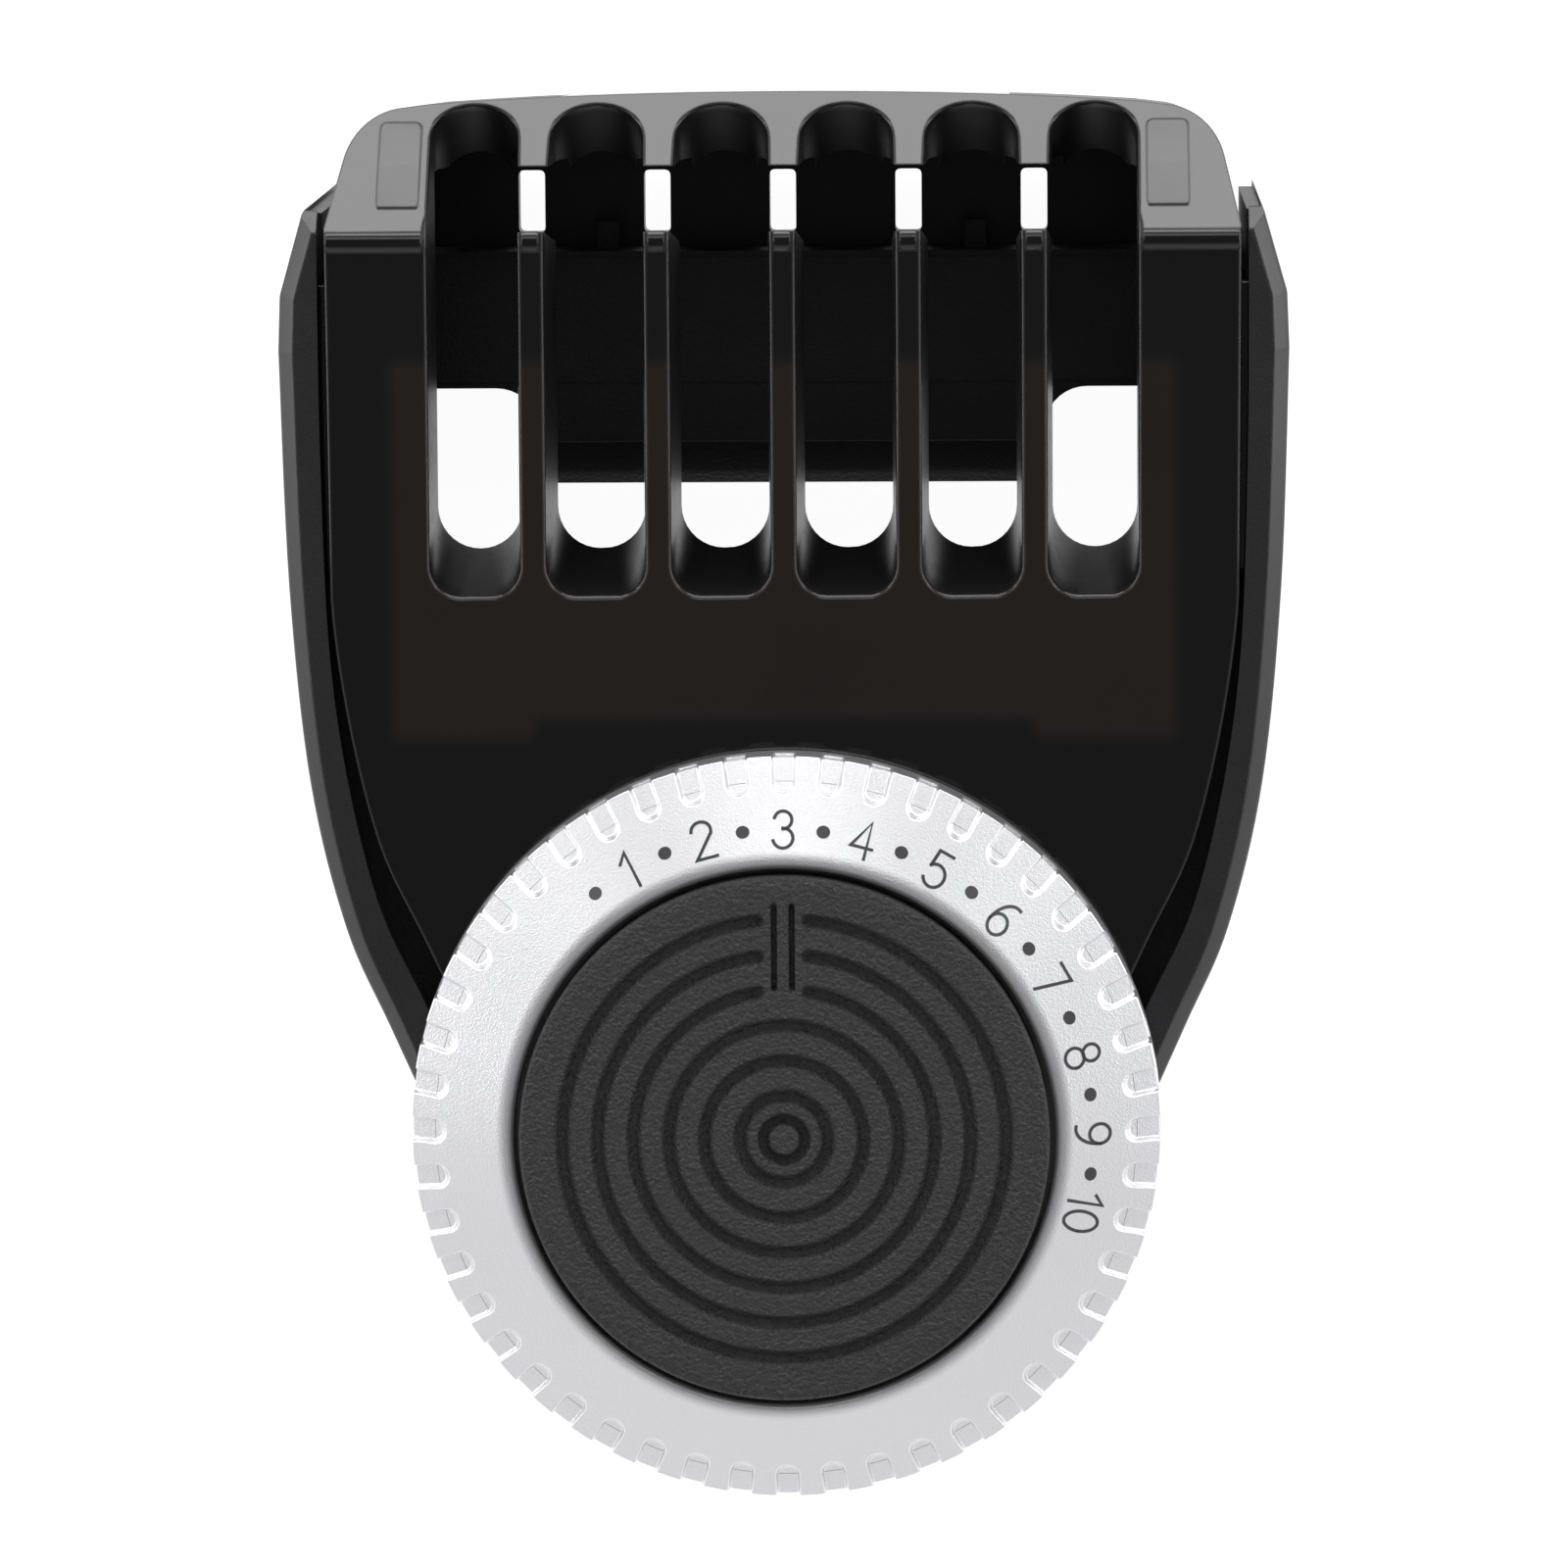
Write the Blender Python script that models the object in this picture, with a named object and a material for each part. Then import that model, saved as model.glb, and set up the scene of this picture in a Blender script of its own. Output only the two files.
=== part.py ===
"""Adjustable comb attachment with a length dial, for a beard and hair trimmer.

A clip-on frame carries a sliding comb hood. A dial ring turns a cam disc whose spiral groove moves
the hood, one millimetre for every numbered step of the dial. All sizes below are in millimetres.
The design frame has the dial's axis at X = Y = 0, with +Y toward the comb's tips and Z = 0 on the
face that the part rests on. Every object sits at the dial's axis, which is also its joint's axis.
"""

from math import asin, copysign, cos, degrees, pi, radians, sin, tau

import bmesh
import bpy
import numpy as np

MM = 0.001

# Fits
GAP = 0.3                 # between a fixed piece and its neighbour
RUN_GAP = 0.25            # between pieces that turn or slide on each other
SCREW_GAP = 0.3           # round a screw's shank
SCREW_END = 0.3           # from a screw's tip to the end of its pilot hole
PLATE_GAP = 0.4           # between the comb's plate and the frame's base plate
THROUGH = 1.0             # how far a cutter runs past what it cuts

# Overall
COMB_FRONT = 20.0         # height of the comb's front face above the rest face
FRAME_WIDTH = 45.7        # across the ears
COMB_TOP = 46.7           # from the dial's axis to the top of the hood
RING_R = 17.0

# Motion
MM_PER_STEP = 1.0         # comb travel for one number
STEP_ANGLE = 15.0         # degrees of dial for one number
STEPS_DOWN = 2.5          # from the rest setting 3 down to 0.5
STEPS_UP = 7.0            # from 3 up to 10
TRAVEL_DOWN = STEPS_DOWN * MM_PER_STEP
TRAVEL_UP = STEPS_UP * MM_PER_STEP

# Dial ring
RING_FACE = 4.8           # width of the numbered face
RING_BORE_R = RING_R - RING_FACE
RING_WALL = 1.1
RIM_TOP = 2.5             # heights on the dial are above the comb's front face
FACE_TOP = 5.4
FACE_SLOPE = (FACE_TOP - RIM_TOP) / RING_FACE
RIM_BOTTOM = 0.35
RIM_ROUND = 0.4
BORE_CHAMFER = 0.2
NOTCHES = 48
NOTCH_LENGTH = 1.55
NOTCH_R = 0.49
NOTCH_DEPTH = 0.4

# Hub
HUB_R = RING_BORE_R - RUN_GAP
HUB_TOP = 5.7
HUB_BOTTOM = 3.9
HUB_ROUND = 0.45
HUB_GROOVES = 6
HUB_GROOVE_FIRST = 1.97   # radius of the smallest groove
HUB_GROOVE_MARGIN = 1.96  # from the largest groove to the hub's edge
HUB_GROOVE_WIDTH = 0.5
HUB_GROOVE_DEPTH = 0.35
POINTER_LENGTH = 3.7
POINTER_SPREAD = 0.8      # between the pointer's two lines
POINTER_WIDTH = 0.24
POINTER_PAST = 0.6        # how far the pointer runs past the largest groove

# Bearing post and follower pin
POST_R = 2.8
POST_SCREW_ORBIT = POST_R + 1.8
POST_FLANGE_R = POST_SCREW_ORBIT + 1.6
POST_FLANGE = 1.2
PIN_R = 0.6
PIN_WALL = 0.5            # of the comb, between the post's slot and the pin's hole
PIN_ORBIT = TRAVEL_DOWN + POST_R + GAP + PIN_WALL + GAP + PIN_R

# Cam disc
CAM_TOP = 2.5
CAM_BOTTOM = 0.5
CAM_BORE_R = POST_R + RUN_GAP
GROOVE_DEPTH = 1.2
DETENT_R = (HUB_R - 3.55, HUB_R - 1.35)
DETENT_HALF = 0.35
DETENT_DEPTH = 0.35

# Detent leaf and wave washer
LEAF = 0.25
LEAF_WIDTH = 1.7
LEAF_ORBIT = (DETENT_R[0] + DETENT_R[1]) / 2
LEAF_ANGLE = 32.0         # from the leaf's nose to each of its screws, in degrees
LEAF_END = 8.0            # from a screw to the leaf's end, in degrees
LEAF_NOSE = 7.0           # half the width of the nose, in degrees
LEAF_LIFT = 0.12          # under the nose, above the cam
WASHER = 0.25
WASHER_WIDTH = 2.2
WASHER_WAVE = 0.22
WASHER_WAVES = 3

# Comb
PLATE = 2.2
TONGUE_HALF = 6.5
TONGUE_END = 12.6
BEND_Y = COMB_TOP - 6.25  # where the front face turns into the sloped top
SLOPE_DROP = 5.5
CROWN = 2.0               # upright part of the hood's top, below the slope
HOOD_SIDE = 2.15          # from the ear's side to the hood's side
HOOD_WALL = 1.5
HOOD_BOTTOM = COMB_TOP - 12.7
HOOD_BACK = 0.5           # the hood's rear face above the rest face
HOOD_BACK_BEVEL = (1.9, 2.4)
HOOD_DRAFT = 0.7          # how far the hood's top leans in from its crown to its rear
CEILING = 2.0             # thickness of the hood's top wall
CEILING_STEP = (3.9, 9.9) # from the top and from the front face, where the slots' block ends
CORNER = 3.0              # radius of the hood's upper corners in plan
CORNER_INSET = 0.55       # of that corner's side from the hood's side
SLOTS = 6
SLOT_PITCH = 5.674
RIB_FRONT = 1.2
RIB_DRAFT = 0.035         # half-width lost for each millimetre of depth
OUTER_SLOT_LOSS = 0.4     # the two outer slots are narrower at the front, on their outer side
RIB_DEPTH = 6.3
SLOT_LOW = 23.95
SLOT_HIGH = COMB_TOP - 0.85
SLOT_END = 10.5           # depth that the slots' cut reaches
SLOT_LOW_RAMP = 0.25
SLOT_HIGH_RAMP = 0.53
BLOCK_WALL = 0.85
RIB_WINDOW = (BEND_Y + 0.05, BEND_Y + 2.5)
RIB_WINDOW_SLOPE = 0.9    # how much lower the window starts at the rib's rear
PAD_WIDTH = 1.9
PAD_INSET = 3.3
REAR_SLIT = (COMB_TOP - 8.1, COMB_TOP - 4.0)
REAR_SLIT_WIDTH = 1.3
REAR_SLIT_SHIFT = -0.45
REAR_SLIT_SPREAD = 1.04   # spacing of the rear slits, for that of the ribs
RUNNER_Y = (25.0, 38.0)
RUNNER = 1.0

# Frame
FRAME_FRONT = 0.1         # below the comb's front face
FLANGE = 1.0
BASE = 2.2
CHEEK_WALL = 1.0
CHEEK_WALL_TOP = 1.25
EDGE_CHAMFER = 0.7
FRAME_TOP = COMB_TOP - 3.5
EAR_LOW = COMB_TOP - 9.1
EAR_TOP_INSET = 2.45
EAR_KINK = (1.15, 1.9)    # inward from the ear's side and down from its top
EAR_SLOPE = 2.9
LOBE_R = 15.8
CHEEK_END = 1.5
FOOT_RELIEF = (9.0, 24.5)
FOOT_RELIEF_HEIGHT = 2.2
WINDOW_HALF = 18.05
WINDOW_LOW = 17.07
WINDOW_STEP_HALF = 11.6
WINDOW_STEP_LOW = 18.6
LEDGE_END = 31.0
BAND_LOW = 2.5            # the band's rear face above the rest face
BAND = 3.3
BAND_Y = (COMB_TOP - 14.5, COMB_TOP - 8.1)
BAND_TAB_HALF = 11.8
BAND_TAB_LOW = BAND_Y[0] - 4.6
BAND_TAB_FILLET = 2.0
BAND_LIP = (2.1, 1.6)     # length and drop of the tab's sloped lip
SEAT_LAND = 0.1           # how far the seats for the trimmer's head stand proud
REAR_SEAT_HALF = 16.8
FRONT_SEAT = (10.0, 14.0, 8.0, 14.0)  # from and to, in X on each side and in Y
STOP_SPREAD = 8.6         # from the middle to each small stop on the band
STOP_SIZE = (1.0, 1.3, 1.0)

# Screws
CENTRE_SCREW_R = 1.0
CENTRE_HEAD_R = 1.9
CENTRE_HEAD = 0.9
SMALL_SCREW_R = 0.5
SMALL_HEAD_R = 1.1
SMALL_HEAD = 0.5
LEAF_HEAD_R = 0.88
LEAF_HEAD = 0.35
CAM_SCREW_ORBIT = RING_BORE_R + 1.3
CAM_SCREW_ANGLES = (105, 175, 245, 315)

# Levels, from the rest face
BASE_TOP = COMB_FRONT - PLATE - PLATE_GAP
BASE_BOTTOM = BASE_TOP - BASE
FRAME_FACE = COMB_FRONT - FRAME_FRONT
BAND_TOP = BAND_LOW + BAND
CAM_TOP_Z = COMB_FRONT + CAM_TOP
CAM_LOW_Z = COMB_FRONT + CAM_BOTTOM
HUB_LOW_Z = COMB_FRONT + HUB_BOTTOM
HUB_TOP_Z = COMB_FRONT + HUB_TOP
HUB_FLOOR_Z = HUB_TOP_Z - HUB_GROOVE_DEPTH
POST_FLANGE_TOP = BASE_BOTTOM - GAP
POST_FLANGE_LOW = POST_FLANGE_TOP - POST_FLANGE
PIN_HOLE_Z = COMB_FRONT - PLATE + 0.4
CENTRE_SCREW_TIP = HUB_FLOOR_Z - 0.65
POST_SCREW_TIP = BASE_TOP - 0.65
CAM_SCREW_TIP = CAM_TOP_Z + 1.4
LEAF_SCREW_TIP = HUB_TOP_Z - 1.0
LEAF_TOP_Z = HUB_LOW_Z - GAP

EAR_HALF = FRAME_WIDTH / 2
HOOD_HALF = EAR_HALF - HOOD_SIDE
CHEEK_INNER_MOST = EAR_HALF - CHEEK_WALL_TOP
RUNNER_HALF = CHEEK_INNER_MOST - 0.5
PIN_PHASE = 0.11          # turn of a plain cylinder, so that its edges miss those of what it cuts
AXIS_Y = -(COMB_TOP - RING_R) / 2


# ---------------------------------------------------------------- helpers

def clear_scene():
    for old in list(bpy.data.objects):
        bpy.data.objects.remove(old, do_unlink=True)


def material(name, color, roughness, metallic=0.0):
    mat = bpy.data.materials.new(name)
    mat.use_nodes = True
    shader = mat.node_tree.nodes["Principled BSDF"]
    shader.inputs["Base Color"].default_value = (*color, 1.0)
    shader.inputs["Roughness"].default_value = roughness
    shader.inputs["Metallic"].default_value = metallic
    mat.diffuse_color = (*color, 1.0)
    return mat


def make(name, verts, faces, mat=None):
    """One object from points in millimetres, with its faces turned outward."""
    mesh = bpy.data.meshes.new(name)
    mesh.from_pydata([tuple(MM * c for c in v) for v in verts], [], faces)
    bm = bmesh.new()
    bm.from_mesh(mesh)
    bmesh.ops.remove_doubles(bm, verts=bm.verts, dist=1e-7)
    bmesh.ops.recalc_face_normals(bm, faces=bm.faces)
    bm.to_mesh(mesh)
    bm.free()
    obj = bpy.data.objects.new(name, mesh)
    obj.location = (0.0, AXIS_Y * MM, 0.0)
    bpy.context.scene.collection.objects.link(obj)
    if mat:
        mesh.materials.append(mat)
    return obj


def loft(name, sections, mat=None):
    """A solid through matching closed outlines, each a list of (x, y, z)."""
    count = len(sections[0])
    verts = [p for section in sections for p in section]
    faces = [list(range(count)), [len(verts) - count + i for i in range(count)]]
    for level in range(len(sections) - 1):
        low = level * count
        for i in range(count):
            j = (i + 1) % count
            faces.append([low + i, low + j, low + count + j, low + count + i])
    return make(name, verts, faces, mat)


def prism(name, outline, z0, z1, mat=None):
    return loft(name, [[(x, y, z) for x, y in outline] for z in (z0, z1)], mat)


def prism_x(name, profile, half, mat=None):
    """A profile in Y and Z carried from -half to +half along X."""
    return loft(name, [[(x, y, z) for y, z in profile] for x in (-half, half)], mat)


def box(name, low, high, mat=None):
    outline = [(low[0], low[1]), (high[0], low[1]), (high[0], high[1]), (low[0], high[1])]
    return prism(name, outline, low[2], high[2], mat)


def lathe(name, profile, segments, mat=None, centre=(0.0, 0.0), phase=0.0):
    """A closed profile of (radius, z) turned about a vertical axis."""
    turn = phase + np.arange(segments) * tau / segments
    verts = [(centre[0] + r * cos(a), centre[1] + r * sin(a), z) for a in turn for r, z in profile]
    count = len(profile)
    faces = []
    for s in range(segments):
        low, high = s * count, ((s + 1) % segments) * count
        for i in range(count):
            j = (i + 1) % count
            if profile[i][0] > 0 or profile[j][0] > 0:
                ring = [low + i, low + j, high + j, high + i]
                if profile[i][0] == 0:
                    ring = [low + i, low + j, high + j]
                if profile[j][0] == 0:
                    ring = [low + i, low + j, high + i]
                faces.append(ring)
    return make(name, verts, faces, mat)


def moved(obj, x):
    """Shifts a new object's mesh along X, and leaves its origin."""
    for v in obj.data.vertices:
        v.co.x += x * MM
    return obj


def pin(name, r, z0, z1, centre=(0.0, 0.0), segments=24, mat=None):
    """A plain cylinder, turned a little so that its edges miss those of what it cuts."""
    return lathe(name, [(0, z0), (r, z0), (r, z1), (0, z1)], segments, mat, centre, PIN_PHASE)


def combine(obj, other, operation="DIFFERENCE"):
    """A live exact Boolean. The other object becomes a hidden helper."""
    other.hide_render = True
    other.display_type = "WIRE"
    modifier = obj.modifiers.new(other.name, "BOOLEAN")
    modifier.operation = operation
    modifier.solver = "EXACT"
    modifier.object = other
    return obj


def curve_through(points, per_span=3):
    """A Catmull-Rom curve through points."""
    pts = np.array([points[0], *points, points[-1]], float)
    out = []
    for i in range(1, len(pts) - 2):
        a, b, c, d = pts[i - 1:i + 3]
        for t in np.arange(per_span) / per_span:
            out.append(0.5 * (2 * b + (c - a) * t + (2 * a - 5 * b + 4 * c - d) * t ** 2
                              + (3 * b - 3 * c + d - a) * t ** 3))
    out.append(pts[-2])
    return np.array(out)


def arc(cx, cy, r, start, end, steps):
    turn = np.radians(np.linspace(start, end, steps + 1))
    return [(cx + r * cos(a), cy + r * sin(a)) for a in turn]


def both_sides(half):
    """A closed outline from its right half, listed from top to bottom."""
    return list(half) + [(-x, y) for x, y in reversed(half) if x > 0]


def at_height(edge, y):
    """Half-width of an edge at y, from its (half-width, y) points."""
    order = np.argsort(edge[:, 1])
    return np.interp(y, edge[order, 1], edge[order, 0])


# ---------------------------------------------------------------- shared edges

# The frame's side below the ear, and the inner edge of its front flange, from top to bottom.
SIDE = curve_through([(EAR_HALF, 35.4), (EAR_HALF - 0.35, 24.4), (EAR_HALF - 1.2, 15.4),
                      (EAR_HALF - 2.75, 8.7), (EAR_HALF - 4.7, 4.15), (EAR_HALF - 7.0, -1.0)])
RAIL = curve_through([(EAR_HALF - 1.85, 43.5), (EAR_HALF - 1.9, 30.0), (EAR_HALF - 2.4, 19.3),
                      (EAR_HALF - 4.1, 10.5), (EAR_HALF - 6.4, 5.3), (EAR_HALF - 8.9, 0.0),
                      (EAR_HALF - 11.0, -4.5)])


def frame_outline(inset=0.0):
    """Ears, tapering sides and the round lobe under the dial."""
    lobe_start = degrees(asin(-1.0 / LOBE_R))
    half = [(0.0, FRAME_TOP - inset), (EAR_HALF - EAR_TOP_INSET - inset, FRAME_TOP - inset),
            (EAR_HALF - EAR_KINK[0] - inset, FRAME_TOP - EAR_KINK[1] - inset / 2),
            (EAR_HALF - 0.1 - inset, EAR_LOW - inset / 3)]
    half += [(x - inset, y) for x, y in SIDE[:-1]]
    half += arc(0, 0, LOBE_R - inset, lobe_start, -90, 9)[:-1]
    half.append((0.0, -LOBE_R + inset))
    return both_sides(half)


def strip_outline(half_width, top, bottom, steps=24):
    """Both sides of a strip whose half-width is a function of y."""
    heights = np.linspace(top, bottom, steps)
    right = [(float(half_width(y)), float(y)) for y in heights]
    return right + [(-x, y) for x, y in reversed(right)]


def rail_half(y):
    return at_height(RAIL, y)


def cheek_half(y):
    side = at_height(SIDE, np.clip(y, SIDE[-1, 1], SIDE[0, 1]))
    return min(side - CHEEK_WALL, CHEEK_INNER_MOST)


def slot_centres():
    return [(i - (SLOTS - 1) / 2) * SLOT_PITCH for i in range(SLOTS)]


def rib_centres():
    return [(i - (SLOTS - 2) / 2) * SLOT_PITCH for i in range(SLOTS - 1)]


# ---------------------------------------------------------------- frame

def build_frame(mat):
    full = frame_outline()
    inner = frame_outline(EDGE_CHAMFER)
    frame = loft("frame", [[(x, y, 0.0) for x, y in full],
                           [(x, y, FRAME_FACE - EDGE_CHAMFER) for x, y in full],
                           [(x, y, FRAME_FACE) for x, y in inner]], mat)
    for cutter in (*bay_cutters(), base_window(), ledge_cutter(), *end_cutters()):
        combine(frame, cutter)
    combine(frame, rear_band(), "UNION")
    for seat in head_seats():
        combine(frame, seat, "UNION")
    combine(frame, pin("cut_post_hole", POST_R + GAP, BASE_BOTTOM - THROUGH, BASE_TOP + THROUGH,
                       segments=32))
    for i, spot in enumerate(post_screw_spots()):
        combine(frame, pin(f"cut_pilot_{i}", SMALL_SCREW_R + SCREW_GAP, BASE_BOTTOM - THROUGH,
                           BASE_TOP - 0.35, spot, 12))
    return frame


def bay_cutters():
    """The comb's bay in front, the undercuts beside its plate, and the bay for the trimmer's head."""
    flange_low = FRAME_FACE - FLANGE
    above, below = FRAME_TOP + THROUGH, -6.0
    front_end = FRAME_FACE + THROUGH
    return (prism("cut_comb_bay", strip_outline(rail_half, FRAME_TOP + 0.2, -4.4), flange_low, front_end),
            box("cut_comb_bay_top", (-rail_half(FRAME_TOP), FRAME_TOP - 0.2, flange_low),
                (rail_half(FRAME_TOP), above, front_end)),
            prism("cut_undercut", strip_outline(cheek_half, above, below), BASE_TOP, flange_low + 0.01),
            prism("cut_head_bay", strip_outline(cheek_half, above, below), -THROUGH, BASE_BOTTOM))


def head_seats():
    """Low lands that the trimmer's head touches, one on the rear band and two under the base plate."""
    edge, sunk = 0.3, 0.5
    seats = [box("add_rear_seat", (-REAR_SEAT_HALF, BAND_Y[0] + edge, BAND_TOP - sunk),
                 (REAR_SEAT_HALF, BAND_Y[1] - edge, BAND_TOP + SEAT_LAND))]
    near, far, low, high = FRONT_SEAT
    for side in (-1, 1):
        left, right = sorted((side * near, side * far))
        seats.append(box(f"add_front_seat_{side + 1}", (left, low, BASE_BOTTOM - SEAT_LAND),
                         (right, high, BASE_BOTTOM + sunk)))
    return seats


def base_window():
    """The stepped opening between the base plate and the slots."""
    outline = both_sides([(0.0, LEDGE_END + THROUGH), (WINDOW_HALF, LEDGE_END + THROUGH),
                          (WINDOW_HALF, WINDOW_LOW), (WINDOW_STEP_HALF, WINDOW_LOW),
                          (WINDOW_STEP_HALF, WINDOW_STEP_LOW), (0.0, WINDOW_STEP_LOW)])
    return prism("cut_window", outline, BASE_BOTTOM - THROUGH, BASE_TOP + THROUGH)


def ledge_cutter():
    """Everything between the cheeks above the side ledges of the base plate."""
    return prism("cut_above_ledge", strip_outline(cheek_half, FRAME_TOP + THROUGH, LEDGE_END),
                 BASE_BOTTOM - THROUGH, BASE_TOP + THROUGH)


def end_cutters():
    """The lobe's clearances, the sloped ears, the relief between the feet and the lower corners."""
    wide = EAR_HALF + THROUGH
    low = -LOBE_R - THROUGH
    front_end = FRAME_FACE + THROUGH
    rise = FOOT_RELIEF_HEIGHT
    ear = [(BEND_Y, FRAME_FACE), (BEND_Y + EAR_SLOPE, FRAME_FACE - EAR_SLOPE), (BEND_Y + EAR_SLOPE, 1.2),
           (BEND_Y + EAR_SLOPE - 1.3, -0.1), (FRAME_TOP + THROUGH, -THROUGH),
           (FRAME_TOP + THROUGH, front_end), (BEND_Y, front_end)]
    relief = [(FOOT_RELIEF[0], -THROUGH), (FOOT_RELIEF[0], 0.0), (FOOT_RELIEF[0] + rise, rise),
              (FOOT_RELIEF[1] - rise, rise), (FOOT_RELIEF[1], 0.0), (FOOT_RELIEF[1], -THROUGH)]
    corner = [(-5.0, -THROUGH), (3.6, -THROUGH), (3.6, 0.0), (CHEEK_END, 3.4), (-5.0, 3.4)]
    return (box("cut_lobe_top", (-wide, low, BASE_TOP), (wide, CHEEK_END, front_end)),
            box("cut_lobe_under", (-wide, low, -THROUGH), (wide, CHEEK_END, BASE_BOTTOM)),
            prism_x("cut_ear_slope", ear, wide),
            prism_x("cut_foot_relief", relief, wide),
            prism_x("cut_lower_corner", corner, wide))


def rear_band():
    """The bridge behind the trimmer's head, with a lower tab, a sloped lip and two small stops."""
    reach = CHEEK_INNER_MOST + CHEEK_WALL / 2
    f = BAND_TAB_FILLET
    half = [(0.0, BAND_Y[1]), (reach, BAND_Y[1]), (reach, BAND_Y[0])]
    half += [(BAND_TAB_HALF + f - f * sin(a), BAND_Y[0] - f + f * cos(a))
             for a in np.radians(np.linspace(0, 90, 5))]
    half += [(BAND_TAB_HALF, BAND_TAB_LOW), (0.0, BAND_TAB_LOW)]
    band = prism("add_rear_band", both_sides(half), BAND_LOW, BAND_TOP)
    length, drop = BAND_LIP
    lip = prism_x("cut_band_lip", [
        (BAND_TAB_LOW - THROUGH, BAND_TOP + THROUGH), (BAND_TAB_LOW - THROUGH, BAND_TOP - drop),
        (BAND_TAB_LOW, BAND_TOP - drop), (BAND_TAB_LOW + length, BAND_TOP),
        (BAND_TAB_LOW + length, BAND_TOP + THROUGH)], BAND_TAB_HALF + f + THROUGH)
    combine(band, lip)
    width, height, depth = STOP_SIZE
    for side in (-1, 1):
        x = side * STOP_SPREAD
        combine(band, box(f"add_band_stop_{side + 1}", (x - width / 2, BAND_Y[1] - 1.0, BAND_LOW + 0.5),
                          (x + width / 2, BAND_Y[1] + height, BAND_LOW + 0.5 + depth)), "UNION")
    return band


# ---------------------------------------------------------------- comb

def comb_edge(y):
    """The plate's side: straight above, and below it the rail's edge moved up by the travel."""
    straight = HOOD_HALF - 0.1 * (BEND_Y - y) / (BEND_Y - SLOT_LOW)
    return min(straight, rail_half(min(y, BEND_Y) - TRAVEL_DOWN - GAP))


def comb_outline():
    """The hood's rounded top, the tapering plate and the tongue under the dial."""
    top_edge = COMB_TOP - 0.5
    half = [(0.0, COMB_TOP), (HOOD_HALF - 11.0, COMB_TOP - 0.15), (HOOD_HALF - 4.6, top_edge)]
    half += arc(HOOD_HALF - CORNER_INSET - CORNER, top_edge - 0.15 - CORNER, CORNER, 80, 10, 4)
    half.append((HOOD_HALF, BEND_Y))
    half += [(float(comb_edge(y)), float(y)) for y in (SLOT_LOW, 21, 18, 15.5, 13, 10.5, 8, 5, 2, 0)]
    half += arc(TONGUE_HALF + 1.5, -2.2, 1.5, 90, 180, 3)
    half += arc(TONGUE_HALF - 3.0, -TONGUE_END + 3.0, 3.0, 0, -90, 3)
    half.append((0.0, -TONGUE_END))
    return both_sides(half)


def hood_profile():
    """Front plate, sloped top, crown and rear wall, outside and inside, in Y and Z."""
    f = COMB_FRONT
    crest = BEND_Y + SLOPE_DROP
    top = COMB_TOP + 0.1
    below = -TONGUE_END - THROUGH
    outside = [(below, f), (BEND_Y, f), (crest, f - SLOPE_DROP), (top, f - SLOPE_DROP - CROWN),
               (top - HOOD_DRAFT, HOOD_BACK + HOOD_BACK_BEVEL[1]),
               (COMB_TOP - HOOD_DRAFT - HOOD_BACK_BEVEL[0], HOOD_BACK),
               (HOOD_BOTTOM, HOOD_BACK)]
    inner_back = HOOD_BACK + HOOD_WALL
    ceiling = COMB_TOP - CEILING
    block_end = COMB_TOP - CEILING_STEP[0]
    step = f - CEILING_STEP[1]
    inside = [(HOOD_BOTTOM, inner_back), (ceiling - 1.0, inner_back), (ceiling, inner_back + 1.0),
              (ceiling, step), (block_end, step), (block_end, f - RIB_DEPTH),
              (SLOT_LOW - 1.2, f - RIB_DEPTH), (SLOT_LOW - 1.2, f - PLATE), (below, f - PLATE)]
    return outside + inside


def rounded_slot(half, low, high, low_corner, z, centre):
    """A slot's section: a full round top end and a bottom end with rounded corners."""
    points = arc(centre, high - half, half, 0, 180, 8)
    points += arc(centre - half + low_corner, low + low_corner, low_corner, 180, 270, 4)
    points += arc(centre + half - low_corner, low + low_corner, low_corner, 270, 360, 4)
    return [(x, y, z) for x, y in points]


def slot_cutter(index, centre):
    """Front and rear sections of one slot. Its sides are drafted and both its ends are ramps."""
    sections = []
    for depth, corner in ((-THROUGH, 1.05), (0.0, 1.15), (RIB_DEPTH + 0.3, 1.95), (SLOT_END, 1.9)):
        loss = OUTER_SLOT_LOSS / 2 * (1 - depth / SLOT_END) if abs(centre) > 2 * SLOT_PITCH else 0.0
        half = (SLOT_PITCH - RIB_FRONT) / 2 - RIB_DRAFT * depth - loss
        low = SLOT_LOW + SLOT_LOW_RAMP * depth
        high = SLOT_HIGH - SLOT_HIGH_RAMP * (depth - SLOPE_DROP)
        middle = centre - copysign(loss, centre)
        sections.append(rounded_slot(half, low, high, min(corner, half), COMB_FRONT - depth, middle))
    return loft(f"cut_slot_{index}", sections)


def hood_cheek(side):
    """One end wall of the hood, kept just inside the hood's outer profile."""
    f = COMB_FRONT
    inset = 0.5
    top = COMB_TOP - 2 * inset
    bevel_y, bevel_z = HOOD_BACK_BEVEL
    profile = [(HOOD_BOTTOM, f - 2 * inset), (BEND_Y - inset, f - 2 * inset),
               (top, f - SLOPE_DROP - 3 * inset), (top - HOOD_DRAFT, HOOD_BACK + bevel_z + inset),
               (COMB_TOP - HOOD_DRAFT - bevel_y - inset, HOOD_BACK + inset),
               (HOOD_BOTTOM, HOOD_BACK + inset)]
    outer, inner = HOOD_HALF + inset, HOOD_HALF - HOOD_WALL
    return moved(prism_x(f"add_hood_cheek_{side + 1}", profile, (outer - inner) / 2),
                 side * (outer + inner) / 2)


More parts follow.
